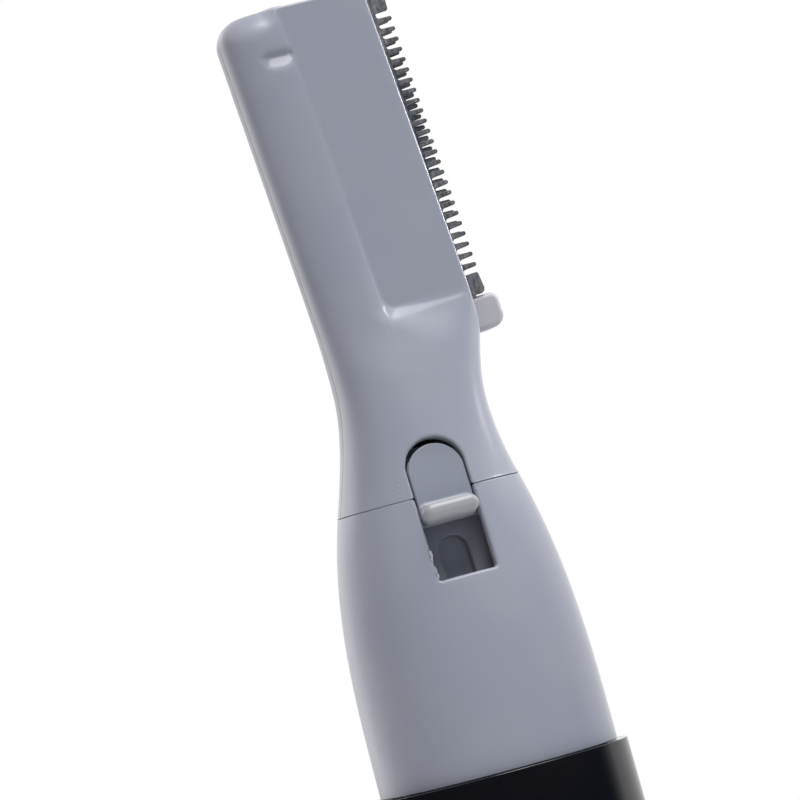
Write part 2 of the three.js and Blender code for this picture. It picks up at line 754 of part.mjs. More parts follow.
// Fixed floor under the slider, with the stem's slot and a round-topped pocket below it
function switchBed() {
  const bedBack = bedDepth + bedThickness;
  const stemSlotHalf = stemHalf + seatGap;
  const stemSlotFoot = stemTop - stemLength - switchTravel - seatGap;
  const board = box([-farOff, bedDepth, slotFootLocal - 1], [farOff, bedBack, slotTopLocal]);
  const stemSlot = box([-stemSlotHalf, 0, stemSlotFoot], [stemSlotHalf, 2 * bedBack, stemTop + seatGap]);
  const slab = cut(board, stemSlot, plate(pocketShape(), 0, bedDepth + pocketSink));
  const inside = bodyLoft(steps(seamZ - collarLength / 2, paddleFootZ, 12), shellWall + seatGap);
  return tilted(slab).intersect(inside);
}

function pocketShape() {
  const half = pocketWidth / 2;
  const shape = polygon([half, slotFootLocal - 2], [half, pocketTop - half]);
  shape.absarc(0, pocketTop - half, half, 0, Math.PI, false);
  shape.lineTo(-half, slotFootLocal - 2);
  return shape;
}

// Bridge of springy brass carried on the slider's stem
function switchContact() {
  const front = bedDepth + bedThickness + seatGap + slideGap;
  const foot = stemTop - stemLength;
  const strip = box([-bridgeHalfWidth, front, foot], [bridgeHalfWidth, front + plateThickness, stemTop]);
  const wiper = (x) => crossPin(wiperRadius, x, (foot + stemTop) / 2, front, front + 2 * plateThickness, 8);
  return join(strip, wiper(-wiperOffset), wiper(wiperOffset));
}

// Power train, drawn from the bulkhead above the cell
function motorBlock(grow, z0, z1) {
  const round = post(motorRadius + grow, 0, motorAxisY, z0, z1, 32);
  const flat = motorFlat + grow;
  return round.intersect(box([-farOff, motorAxisY - flat, z0], [farOff, motorAxisY + flat, z1]));
}

// Cradle for the cell, bulkhead, motor yoke and nose plate in one moulding
function chassisFrame() {
  const troughRadius = sleeveInnerDepth - seatGap;
  const trough = cut(
    post(troughRadius, 0, 0, footZ, flangeTop, 40),
    post(cellRadius + seatGap, 0, 0, footZ + footThickness, bulkheadFoot, 40),
    box([-farOff, -farOff, footZ + footThickness], [farOff, -cellRadius / 3, flangeTop + 1]),
  );
  const bulkhead = straightTube(runGap + shellWall + seatGap, bulkheadFoot, bulkheadTop);
  const yokeTop = noseTop;
  const collarFoot = rimZ + skirtOverlap;
  const outsideCollar = cut(
    box([-farOff, -farOff, collarFoot], [farOff, farOff, yokeTop + 1]),
    bodyLoft(steps(collarFoot - 1, yokeTop + 2, 6), shellWall + seatGap),
  );
  const yoke = cut(
    straightTube(runGap + shellWall + seatGap, bulkheadTop - seatGap, yokeTop),
    motorBlock(seatGap, bulkheadTop, canTop + seatGap),
    post(bushRadius + seatGap, 0, motorAxisY, canTop, yokeTop + 1),
    box([-farOff, -farOff, bulkheadTop], [farOff, -yokeFront, canTop + seatGap]),
    outsideCollar,
  );
  const passHalf = stripWidth / 2 + 1;
  const passBack = stripUpperY + 2 * seatGap;
  const stripPass = box([-passHalf, -farOff, bulkheadFoot - 1], [passHalf, passBack, yokeTop + 1]);
  const cradle = cut(trough, post(buttonRadius, 0, 0, bulkheadFoot, flangeTop + 1));
  return join(cradle, cut(join(bulkhead, yoke), stripPass));
}

// Swash cam: a spool whose groove is tilted, so that one turn moves the peg up and down once
function swashCam() {
  const bore = shaftRadius + seatGap;
  const z0 = camMidZ - camLength / 2;
  const z1 = camMidZ + camLength / 2;
  const spool = lathe([bore, z0], [camRadius, z0], [camRadius, z1], [bore, z1], [bore, z0]);
  const half = camGroove / 2;
  const rim = 2 * camRadius;
  const profile = [[camCore, -half], [rim, -half], [rim, half], [camCore, half], [camCore, -half]];
  const points = profile.map(([radius, z]) => new THREE.Vector2(radius, z));
  const groove = new THREE.LatheGeometry(points, 24).rotateX(Math.PI / 2).rotateY(camTilt);
  const body = cut(spool, solid(groove.translate(0, 0, camMidZ)));
  return solid(geometryOf(body).translate(0, motorAxisY, 0));
}

function motorBush() {
  const bore = shaftRadius + seatGap;
  const z0 = canTop + slideGap;
  const z1 = z0 + bushLength;
  const ringSolid = lathe([bore, z0], [bushRadius, z0], [bushRadius, z1], [bore, z1], [bore, z0]);
  return solid(geometryOf(ringSolid).translate(0, motorAxisY, 0));
}

const motorTerminal = (x) => {
  const z0 = bulkheadTop + seatGap;
  const low = [x - plateThickness / 2, motorAxisY - terminalHalfWidth, z0];
  return box(low, [x + plateThickness / 2, motorAxisY + terminalHalfWidth, z0 + terminalLength]);
};

function batteryCell() {
  const shoulder = cellTop - buttonHeight;
  return lathe(
    [0, cellFoot],
    [cellRadius - cellEdge, cellFoot],
    [cellRadius, cellFoot + cellEdge],
    [cellRadius, shoulder - cellEdge],
    [cellRadius - cellEdge, shoulder],
    [buttonRadius, shoulder],
    [buttonRadius, cellTop],
    [0, cellTop],
  );
}

function positiveContact() {
  const z0 = cellTop + seatGap;
  return post(contactRadius, 0, 0, z0, z0 + plateThickness);
}

// Conical coil under the cell, one unbroken wire
function negativeSpring() {
  const wire = springWire / 2;
  const stepsPerTurn = 8;
  const count = springTurns * stepsPerTurn;
  const points = steps(0, 1, count).map((share) => {
    const radius = THREE.MathUtils.lerp(springFootRadius, springTopRadius, share);
    const angle = (share * springTurns - 0.25) * 2 * Math.PI;
    const z = springFoot + wire + share * (springHeight - springWire);
    return new THREE.Vector3(radius * Math.cos(angle), radius * Math.sin(angle), z);
  });
  const others = (k) => points.slice(k + stepsPerTurn - 2);
  const gaps = points.flatMap((p, k) => others(k).map((q) => p.distanceTo(q) - springWire));
  console.log(`spring: least gap between turns ${Math.min(...gaps).toFixed(2)} mm`);
  const section = new THREE.Shape();
  const corners = steps(0, 1.6 * Math.PI, 4);
  const corner = (angle) => new THREE.Vector2(wire * Math.cos(angle), wire * Math.sin(angle));
  section.setFromPoints(corners.map(corner));
  const extrudePath = new THREE.CatmullRomCurve3(points);
  return solid(new THREE.ExtrudeGeometry(section, { steps: count, extrudePath, bevelEnabled: false }));
}

// Brass strip from under the spring, up past the cell and the bulkhead
function contactStrip() {
  const t = plateThickness;
  const tabZ = footZ + footThickness + slideGap;
  const lower = -(cellRadius + seatGap);
  const upper = stripUpperY;
  const shape = polygon(
    [0, tabZ],
    [0, tabZ + t],
    [lower, tabZ + t],
    [lower, cellTop - 1],
    [upper, bulkheadFoot],
    [upper, rimZ + 2],
    [upper - t, rimZ + 2],
    [upper - t, bulkheadFoot],
    [lower - t, cellTop - 1],
    [lower - t, tabZ],
  );
  return ribbon(shape, 0, stripWidth);
}

// Assembly
addPart('battery_sleeve', batterySleeve(), blackGloss);
addPart('body_collar', bodyCollar(), greyPlastic);
addPart('head_front_shell', headFrontShell(), greyPlastic);
addPart('head_rear_shell', headRearShell(), greyPlastic);

const bladeSet = new THREE.Group();
bladeSet.position.set(edgeAt(combFootZ), 0, combFootZ);
bladeSet.rotation.y = -rad(bladeLean);
trimmer.add(bladeSet);
addPart('blade_frame', bladeFrame(), paleNylon, bladeSet);
addPart('comb_blade', combBlade(), darkSteel, bladeSet);
addPart('cutter_blade', cutterBlade(), darkSteel, bladeSet);
addPart('cutter_carrier', cutterCarrier(), whiteNylon, bladeSet);
addPart('blade_spring', bladeSpring(), brightSteel, bladeSet);
addPart('comb_pin_lower', combPin(pinAlong[0]), brightSteel, bladeSet);
addPart('comb_pin_upper', combPin(pinAlong[1]), brightSteel, bladeSet);

const switchSet = new THREE.Group();
switchSet.applyMatrix4(switchPlane);
trimmer.add(switchSet);
addPart('switch_slider', switchSlider(), paleNylon, switchSet);
addPart('switch_contact', switchContact(), brass, switchSet);
addPart('switch_bed', switchBed(), greyPlastic);

addPart('chassis_frame', chassisFrame(), whiteNylon);
addPart('motor_can', motorBlock(0, canFoot, canTop), brightSteel);
const capTop = canFoot - slideGap;
addPart('motor_end_cap', motorBlock(-2 * slideGap, capTop - capThickness, capTop), whiteNylon);
addPart('motor_terminal_left', motorTerminal(-terminalOffset), brass);
addPart('motor_terminal_right', motorTerminal(terminalOffset), brass);
addPart('motor_bush', motorBush(), brass);
const shaftFoot = canTop + seatGap;
addPart('motor_shaft', post(shaftRadius, 0, motorAxisY, shaftFoot, shaftFoot + shaftLength, 16), brightSteel);
addPart('swash_cam', swashCam(), whiteNylon);
addPart('battery_cell', batteryCell(), cellJacket);
addPart('positive_contact', positiveContact(), brass);
addPart('negative_spring', negativeSpring(), brightSteel);
addPart('contact_strip', contactStrip(), brass);

export default trimmer;
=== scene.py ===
"""Visual model of an electric facial trimmer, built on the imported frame.

Lengths in the classes are millimetres in the shared frame: +Z up the handle, -Y the switch side, +X the blade
edge. Meshes are written in metres.
"""

import logging
import math
from collections.abc import Callable
from dataclasses import dataclass, field
from enum import Enum

import bmesh
import bpy
import numpy as np
from mathutils import Matrix, Vector

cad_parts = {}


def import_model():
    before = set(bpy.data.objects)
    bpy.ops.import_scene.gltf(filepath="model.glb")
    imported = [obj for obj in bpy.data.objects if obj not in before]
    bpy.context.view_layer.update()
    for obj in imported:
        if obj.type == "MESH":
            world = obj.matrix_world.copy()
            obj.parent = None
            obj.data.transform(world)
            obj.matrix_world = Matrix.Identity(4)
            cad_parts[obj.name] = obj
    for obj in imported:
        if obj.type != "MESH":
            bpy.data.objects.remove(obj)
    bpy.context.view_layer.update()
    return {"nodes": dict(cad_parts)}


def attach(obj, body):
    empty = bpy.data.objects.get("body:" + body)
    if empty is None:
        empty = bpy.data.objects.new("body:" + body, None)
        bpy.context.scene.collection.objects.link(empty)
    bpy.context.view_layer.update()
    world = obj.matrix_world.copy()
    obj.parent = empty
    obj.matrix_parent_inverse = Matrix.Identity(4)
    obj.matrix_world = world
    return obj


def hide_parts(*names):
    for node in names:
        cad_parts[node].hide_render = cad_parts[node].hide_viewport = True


LOG = logging.getLogger("trimmer")
MM = 0.001
Array = np.ndarray
Solid = Callable[[Array, Array, Array], Array]
Station = tuple[float, float, float]
Color = tuple[float, float, float]
WHITE: Color = (1.0, 1.0, 1.0)


class Slot(Enum):
    """Material slots of the record."""

    SHELL = "grey_shell"
    SWITCH = "switch_grey"
    PALE = "pale_nylon"
    SLEEVE = "black_sleeve"
    BLADE = "blade_steel"
    STEEL = "bright_steel"
    BRASS = "brass"
    NYLON = "white_nylon"
    JACKET = "cell_jacket"


class Body(Enum):
    """Bodies of the record that the pieces made here move with."""

    HANDLE = "handle"
    CHASSIS = "chassis"
    SWITCH = "switch"
    CUTTER = "cutter"


def meet(a: Array, b: Array, radius: float) -> Array:
    """Common part of two solids, with a round of the given radius on the edge where they meet.

    Args:
        a: Distance to the first solid, negative inside.
        b: Distance to the second solid, negative inside.
        radius: Radius of the rounded edge.

    Returns:
        Distance to the common part.
    """
    corner = np.hypot(np.maximum(a + radius, 0.0), np.maximum(b + radius, 0.0))
    return np.minimum(np.maximum(a, b), -radius) + corner


def merge(a: Array, b: Array, radius: float) -> Array:
    """Two solids joined, with a fillet of the given radius where they meet.

    Args:
        a: Distance to the first solid, negative inside.
        b: Distance to the second solid, negative inside.
        radius: Radius of the fillet.

    Returns:
        Distance to the joined solid.
    """
    corner = np.hypot(np.maximum(radius - a, 0.0), np.maximum(radius - b, 0.0))
    return np.maximum(np.minimum(a, b), radius) - corner


def carve(a: Array, b: Array, radius: float) -> Array:
    """The first solid without the second, with its new edges rounded.

    Args:
        a: Distance to the solid, negative inside.
        b: Distance to the cutter, negative inside.
        radius: Radius of the rounded edge.

    Returns:
        Distance to what is left.
    """
    return meet(a, -b, radius)


def slab(value: Array, low: float, high: float) -> Array:
    """Distance to the space between two limits of one coordinate."""
    return np.maximum(low - value, value - high)


def block(x: Array, y: Array, z: Array, low: Station, high: Station, radius: float = 0.0) -> Array:
    """Box between two corners with rounded edges.

    Args:
        x: X of the points.
        y: Y of the points.
        z: Z of the points.
        low: Lowest corner.
        high: Highest corner.
        radius: Radius of its edges.

    Returns:
        Distance to the box.
    """
    flat = meet(slab(x, low[0], high[0]), slab(y, low[1], high[1]), radius)
    return meet(flat, slab(z, low[2], high[2]), radius)


def pebble(x: Array, y: Array, z: Array, middle: Station, half: Station) -> Array:
    """Ellipsoid about a middle with the given half sizes."""
    u, v, w = ((c - m) / h for c, m, h in zip((x, y, z), middle, half))
    return (np.sqrt(u * u + v * v + w * w) - 1.0) * min(half)


def spaced(*bands: tuple[float, float, float]) -> Array:
    """Grid lines from bands of (from, to, spacing), each starting where the one before it ends."""
    parts = [np.linspace(a, b, max(2, round((b - a) / s) + 1))[:-1] for a, b, s in bands]
    return np.concatenate([*parts, [bands[-1][1]]])


@dataclass
class Skin:
    """Closed quad mesh over the zero level of a distance field, on a grid with uneven spacing."""

    solid: Solid
    xs: Array
    ys: Array
    zs: Array
    place: Matrix | None = None
    relax: int = 2
    reach: float = 0.12

    def slope(self, points: Array) -> tuple[Array, Array]:
        """Field and its gradient at points.

        Args:
            points: One row of X, Y, Z per point.

        Returns:
            The field's values and its gradients.
        """
        step = 0.004
        rows = []
        for axis in range(3):
            shift = np.zeros(3)
            shift[axis] = step
            ahead, behind = (points + shift).T, (points - shift).T
            rows.append((self.solid(*ahead) - self.solid(*behind)) / (2 * step))
        return self.solid(*points.T), np.stack(rows, axis=1)

    def settle(self, points: Array, rounds: int) -> Array:
        """Moves points onto the zero level along the field's gradient.

        Args:
            points: One row per point.
            rounds: How many times each point steps.

        Returns:
            The moved points.
        """
        for _ in range(rounds):
            value, gradient = self.slope(points)
            length = np.maximum((gradient**2).sum(axis=1), 0.05)
            move = -(value / length)[:, None] * gradient
            size = np.maximum(np.linalg.norm(move, axis=1), 1e-9)
            points = points + move * np.minimum(1.0, self.reach / size)[:, None]
        return points

    def nets(self) -> tuple[Array, Array]:
        """Vertices and quads, one vertex in each cell that the surface passes through.

        Returns:
            Points and quads that face outwards.
        """
        lines = (self.xs, self.ys, self.zs)
        grid = np.meshgrid(*lines, indexing="ij")
        value = self.solid(*grid)
        inside = value < 0
        cells = tuple(len(c) - 1 for c in lines)
        total = np.zeros((*cells, 3))
        count = np.zeros(cells)
        quads = []
        for axis in range(3):
            low = [slice(None)] * 3
            high = [slice(None)] * 3
            low[axis], high[axis] = slice(None, -1), slice(1, None)
            a, b = value[tuple(low)], value[tuple(high)]
            crossing = inside[tuple(low)] != inside[tuple(high)]
            index = np.stack(np.nonzero(crossing), axis=1)
            share = (a / np.where(crossing, a - b, 1.0))[crossing]
            spot = np.stack([lines[k][index[:, k]] for k in range(3)], axis=1)
            spot[:, axis] += share * np.diff(lines[axis])[index[:, axis]]
            second, third = (axis + 1) % 3, (axis + 2) % 3
            around = []
            for d2, d3 in ((1, 1), (0, 1), (0, 0), (1, 0)):
                cell = index.copy()
                cell[:, second] -= d2
                cell[:, third] -= d3
                np.add.at(total, tuple(cell.T), spot)
                np.add.at(count, tuple(cell.T), 1)
                around.append(np.ravel_multi_index(tuple(cell.T), cells))
            ring = np.stack(around, axis=1)
            outward = inside[tuple(low)][crossing]
            ring[~outward] = ring[~outward][:, ::-1]
            quads.append(ring)
        faces = np.concatenate(quads)
        used, packed = np.unique(faces, return_inverse=True)
        points = total.reshape(-1, 3)[used] / count.reshape(-1)[used][:, None]
        return points, packed.reshape(faces.shape)

    def even(self, points: Array, quads: Array) -> Array:
        """Moves each point half way to the mean of its neighbours.

        Args:
            points: One row per point.
            quads: Corners of each face.

        Returns:
            The moved points.
        """
        ends = np.concatenate([quads[:, [k, (k + 1) % 4]] for k in range(4)])
        total = np.zeros_like(points)
        count = np.zeros(len(points))
        for a, b in ((0, 1), (1, 0)):
            np.add.at(total, ends[:, a], points[ends[:, b]])
            np.add.at(count, ends[:, a], 1)
        return 0.5 * points + 0.5 * total / count[:, None]

    def build(self, name: str) -> bpy.types.Object:
        """Meshes the field, evens it out on the surface and takes normals from the field.

        Args:
            name: Name of the piece.

        Returns:
            The object, linked to the scene.
        """
        points, quads = self.nets()
        points = self.settle(points, 2)
        for _ in range(self.relax):
            points = self.settle(self.even(points, quads), 2)
        _, gradient = self.slope(points)
        normals = gradient / np.maximum(np.linalg.norm(gradient, axis=1), 1e-6)[:, None]
        if self.place is not None:
            turn = np.array(self.place.to_3x3())
            points = points @ turn.T + np.array(self.place.translation)
            normals = normals @ turn.T
        obj = mesh_object(name, points, quads.tolist())
        obj.data.normals_split_custom_set_from_vertices(normals.tolist())
        return obj


def mesh_object(name: str, points: Array, faces: list[list[int]]) -> bpy.types.Object:
    """Smooth-shaded mesh object in metres, from millimetres.

    Args:
        name: Name of the piece.
        points: One row of X, Y, Z per vertex.
        faces: Corners of each face, counter-clockwise from outside.

    Returns:
        The object, linked to the scene.
    """
    mesh = bpy.data.meshes.new(name)
    mesh.from_pydata((np.asarray(points) * MM).tolist(), [], faces)
    mesh.validate()
    mesh.polygons.foreach_set("use_smooth", [True] * len(mesh.polygons))
    mesh.update()
    obj = bpy.data.objects.new(name, mesh)
    bpy.context.scene.collection.objects.link(obj)
    return obj


def hermite(stations: list[Station], height: Array) -> Array:
    """Value of a curve through (height, value, slope) stations.

    Args:
        stations: The curve's stations, lowest first.
        height: Heights to read it at.

    Returns:
        The curve's values.
    """
    level, value, slope = (np.array(column) for column in zip(*stations))
    k = np.clip(np.searchsorted(level, height, side="left") - 1, 0, len(level) - 2)
    span = level[k + 1] - level[k]
    t = np.clip((height - level[k]) / span, 0.0, 1.0)
    bend = t * t * (3 - 2 * t)
    lead = t * (1 - t) ** 2 * span
    trail = t * t * (t - 1) * span
    return value[k] * (1 - bend) + value[k + 1] * bend + slope[k] * lead + slope[k + 1] * trail


def oval(x: Array, y: Array, half_width: Array, half_depth: Array, squareness: Array) -> Array:
    """Distance to an upright superellipse tube about the Z axis.

    Args:
        x: X of the points, from the tube's middle.
        y: Y of the points.
        half_width: Half size in X.
        half_depth: Half size in Y.
        squareness: Power of the superellipse, 2 for an ellipse.

    Returns:
        Distance, exact to first order near the tube.
    """
    u = np.abs(x) / half_width
    v = np.abs(y) / half_depth
    r = np.maximum((u**squareness + v**squareness) ** (1 / squareness), 1e-4)
    grow_x = (u / r) ** (squareness - 1) / half_width
    grow_y = (v / r) ** (squareness - 1) / half_depth
    return (r - 1) / np.maximum(np.hypot(grow_x, grow_y), 1e-4)


@dataclass
class BodyForm:
    """Outline of the whole body and the lines that its pieces share."""

    rim_z: float = 70.0
    seam_z: float = 92.5
    foot_z: float = 107.3
    top_z: float = 133.2
    rim_half_width: float = 9.7
    rim_half_depth: float = 9.2
    rim_squareness: float = 2.2
    rim_step: float = 0.8
    sleeve_wall: float = 1.5
    seam_left: float = 7.35
    seam_right: float = 7.5
    seam_half_depth: float = 6.75
    waist_z: float = 101.676
    waist_left: float = 5.05
    waist_right: float = 6.48
    waist_half_depth: float = 5.0
    foot_left: float = 5.22
    foot_half_depth: float = 4.05
    top_half_depth: float = 3.75
    edge_at_foot: float = 7.45
    lean: float = 4.56
    edge_lean: float = 5.07
    panel_width: float = 7.5
    corner_radius: float = 2.25
    edge_radius: float = 0.9
    brow_radius: float = 4.0
    brow_rise: float = 2.6
    brow_end: float = 0.9
    brow_fade: float = 2.4
    wall: float = 1.25
    seam_gap: float = 0.04
    seam_round: float = 0.07
    seam_finest: float = 0.35
    seam_fine_x: float = -2.0
    seam_fine_run: float = 5.0
    seat_gap: float = 0.3
    run_gap: float = 0.25
    parting_y: float = -0.2
    curves: dict[str, list[Station]] = field(init=False)

    def __post_init__(self) -> None:
        """Sets up the outline's curves."""
        lean = math.tan(math.radians(self.lean))
        edge = math.tan(math.radians(self.edge_lean))
        rise = self.top_z - self.foot_z
        self.curves = {
            "left": [
                (self.rim_z, self.rim_half_width, 0),
                (self.seam_z, self.seam_left, -0.33),
                (self.waist_z + 0.7, self.waist_left, 0),
                (self.foot_z, self.foot_left, lean),
                (self.top_z, self.foot_left + lean * rise, lean),
            ],
            "right": [
                (self.rim_z, self.rim_half_width, 0),
                (self.seam_z, self.seam_right, -0.28),
                (self.waist_z - 2.6, self.waist_right, 0),
                (self.foot_z, self.edge_at_foot + 0.8, 0.25),
                (self.top_z, self.edge_at_foot + 1.4 - edge * rise, -edge),
            ],
            "depth": [
                (self.rim_z, self.rim_half_depth, 0),
                (self.seam_z, self.seam_half_depth, -0.2),
                (self.waist_z, self.waist_half_depth, -0.17),
                (self.foot_z, self.foot_half_depth, -0.06),
                (self.top_z, self.top_half_depth, 0),
            ],
            "squareness": [
                (self.rim_z, self.rim_squareness, 0),
                (self.seam_z, 2.3, 0.02),
                (self.foot_z, 3.3, 0.02),
                (self.top_z, 3.6, 0),
            ],
        }

    def drawn_in(self, radius: float, z: Array, rise: float = 0.0) -> Array:
        """How far a round of that radius, which starts that far below the top, draws a side in."""
        climb = np.maximum(z - (self.top_z - (rise or radius)), 0)
        return radius - np.sqrt(np.maximum(radius * radius - climb * climb, 0))

    def skin(self, x: Array, y: Array, z: Array, inset: float = 0.0) -> Array:
        """Distance to the body's outline, drawn in by an inset.

        Args:
            x: X of the points.
            y: Y of the points.
            z: Z of the points.
            inset: How far the outline is drawn in.

        Returns:
            Distance, negative inside.
        """
        edge = self.drawn_in(self.edge_radius, z)
        left = hermite(self.curves["left"], z) - inset - self.drawn_in(self.corner_radius, z)
        right = hermite(self.curves["right"], z) - inset - edge
        beside = np.clip((self.recess_at(z) + self.brow_end - x) / self.brow_fade, 0.0, 1.0)
        brow = self.drawn_in(self.brow_radius, z, self.brow_rise) * beside * beside * (3 - 2 * beside)
        depth = hermite(self.curves["depth"], z) - inset - brow
        middle = (right - left) / 2
        return oval(x - middle, y, (left + right) / 2, depth, hermite(self.curves["squareness"], z))

    def tube(self, x: Array, y: Array, inset: float) -> Array:
        """Distance to the straight bore of the sleeve, drawn in by an inset.

        Args:
            x: X of the points.
            y: Y of the points.
            inset: How far the bore is drawn in.

        Returns:
            Distance, negative inside.
        """
        width = self.rim_half_width + self.rim_step - self.sleeve_wall - inset
        depth = self.rim_half_depth + self.rim_step - self.sleeve_wall - inset
        return oval(x, y, width, depth, self.rim_squareness)

    def seam_share(self, x: Array) -> Array:
        """How open the seam is there: it is finest on the left."""
        wider = np.clip((x - self.seam_fine_x) / self.seam_fine_run, 0.0, 1.0)
        return self.seam_finest + (1 - self.seam_finest) * wider

    def edge_at(self, z: Array) -> Array:
        """X of the shell's blade edge."""
        return self.edge_at_foot - math.tan(math.radians(self.edge_lean)) * (z - self.foot_z)

    def recess_at(self, z: Array) -> Array:
        """X of the foot of the wall between the spine and the recessed panel."""
        return self.edge_at(z) - self.panel_width

    def spine_at(self, z: Array) -> Array:
        """X of the spine's outer side."""
        return -self.foot_left - math.tan(math.radians(self.lean)) * (z - self.foot_z)


@dataclass
class SwitchPlane:
    """Tilted plane of the switch: -Y outwards, Z up the slot."""

    form: BodyForm
    below_seam: float = 1.1
    tilt: float = 10.6
    slot_half: float = 2.4
    slot_above_seam: float = 4.5
    slot_below_seam: float = 6.7
    bed_depth: float = 2.8
    foot_corner: float = 0.28
    room_half: float = 3.4
    room_front: float = 1.75
    room_gap: float = 0.3
    top: float = field(init=False)
    foot: float = field(init=False)

    def __post_init__(self) -> None:
        """Works out the slot's ends along the plane."""
        along = math.cos(math.radians(self.tilt))
        self.top = (self.slot_above_seam + self.below_seam) / along
        self.foot = -(self.slot_below_seam - self.below_seam) / along

    @property
    def matrix(self) -> Matrix:
        """Works out the place of the plane.

        Returns:
            Its axes in the frame.
        """
        z = self.form.seam_z - self.below_seam
        y = -float(hermite(self.form.curves["depth"], np.array(z)))
        return Matrix.Translation((0, y, z)) @ Matrix.Rotation(-math.radians(self.tilt), 4, "X")

    def local(self, x: Array, y: Array, z: Array) -> tuple[Array, Array, Array]:
        """Points of the frame in the plane's own axes.

        Args:
            x: X of the points.
            y: Y of the points.
            z: Z of the points.

        Returns:
            Across, inwards and up the slot.
        """
        place = self.matrix.inverted()
        inwards = place[1][1] * y + place[1][2] * z + place[1][3]
        along = place[2][1] * y + place[2][2] * z + place[2][3]
        return x, inwards, along

    def slot(self, x: Array, y: Array, z: Array) -> Array:
        """Distance to the slot cut, in the frame's axes.

        Args:
            x: X of the points.
            y: Y of the points.
            z: Z of the points.

        Returns:
            Distance, negative in the slot.
        """
        u, v, w = self.local(x, y, z)
        crown = self.top - self.slot_half
        side = np.where(w > crown, np.hypot(u, w - crown), np.abs(u)) - self.slot_half
        return np.maximum(meet(side, self.foot - w, self.foot_corner), np.abs(v) - self.bed_depth)

    def clearance(self, x: Array, y: Array, z: Array) -> Array:
        """Distance to the room behind the slot for the slider's flange, in the frame's axes.

        Args:
            x: X of the points.
            y: Y of the points.
            z: Z of the points.

        Returns:
            Distance, negative in the room.
        """
        low = (-self.room_half, self.room_front, self.foot - self.room_gap)
        high = (self.room_half, 2 * self.bed_depth, self.top + self.room_gap)
        return block(*self.local(x, y, z), low, high)


@dataclass
class BladePlane:
    """Leaning axes of the blade set: X out of the edge, Z along the blade."""

    form: BodyForm
    lean: float = 4.23
    drop: float = 0.2

    @property
    def matrix(self) -> Matrix:
        """Works out the place of the blade set.

        Returns:
            Its axes in the frame.
        """
        z = self.form.foot_z - self.drop
        turn = Matrix.Rotation(-math.radians(self.lean), 4, "Y")
        return Matrix.Translation((float(self.form.edge_at(np.array(z))), 0, z)) @ turn


@dataclass
class Wiring:
    """Short hand for building one node tree."""

    tree: bpy.types.NodeTree

    def add(self, kind: str, inputs: dict[str, object] | None = None, **settings: object) -> bpy.types.Node:
        """Adds a node.

        Args:
            kind: Blender's name of the node type.
            inputs: Values, or sockets to link, by input name.
            settings: Properties of the node.

        Returns:
            The node.
        """
        node = self.tree.nodes.new(kind)
        for key, value in settings.items():
            setattr(node, key, value)
        for key, value in (inputs or {}).items():
            self.feed(node.inputs[key], value)
        return node

    def feed(self, socket: bpy.types.NodeSocket, value: object) -> None:
        """Links a socket to another one, or sets its value.

        Args:
            socket: Input to feed.
            value: Output socket, colour or other plain value.
        """
        if isinstance(value, bpy.types.NodeSocket):
            self.tree.links.new(value, socket)
        elif isinstance(value, tuple) and len(value) == 3 and socket.type == "RGBA":
            socket.default_value = (*value, 1.0)
        else:
            socket.default_value = value

    def math(self, operation: str, a: object, b: object = 0.0, clamp: bool = False) -> bpy.types.NodeSocket:
        """Adds a Math node.

        Args:
            operation: Blender's name of the operation.
            a: First value or socket.
            b: Second value or socket.
            clamp: Whether the result stays between 0 and 1.

        Returns:
            The node's output.
        """
        node = self.add("ShaderNodeMath", operation=operation, use_clamp=clamp)
        self.feed(node.inputs[0], a)
        self.feed(node.inputs[1], b)
        return node.outputs[0]

    def ramp(
        self, value: object, low: float, high: float, to_low: float = 0.0, to_high: float = 1.0
    ) -> bpy.types.NodeSocket:
        """Value mapped smoothly from one range to another."""
        inputs = {"Value": value, "From Min": low, "From Max": high, "To Min": to_low, "To Max": to_high}
        return self.add("ShaderNodeMapRange", inputs, interpolation_type="SMOOTHSTEP").outputs["Result"]

    def blend(self, share: object, a: object, b: object) -> bpy.types.NodeSocket:
        """Mixes two colours.

        Args:
            share: Share of the second one.
            a: First colour or socket.
            b: Second colour or socket.

        Returns:
            The mixed colour.
        """
        node = self.add("ShaderNodeMix", data_type="RGBA")
        self.feed(node.inputs[0], share)
        self.feed(node.inputs[6], a)
        self.feed(node.inputs[7], b)
        return node.outputs[2]

    def noise(self, vector: object, scale: object, detail: float, rough: float) -> bpy.types.NodeSocket:
        """Strength of a noise texture."""
        inputs = {"Vector": vector, "Scale": scale, "Detail": detail, "Roughness": rough}
        return self.add("ShaderNodeTexNoise", inputs).outputs[0]


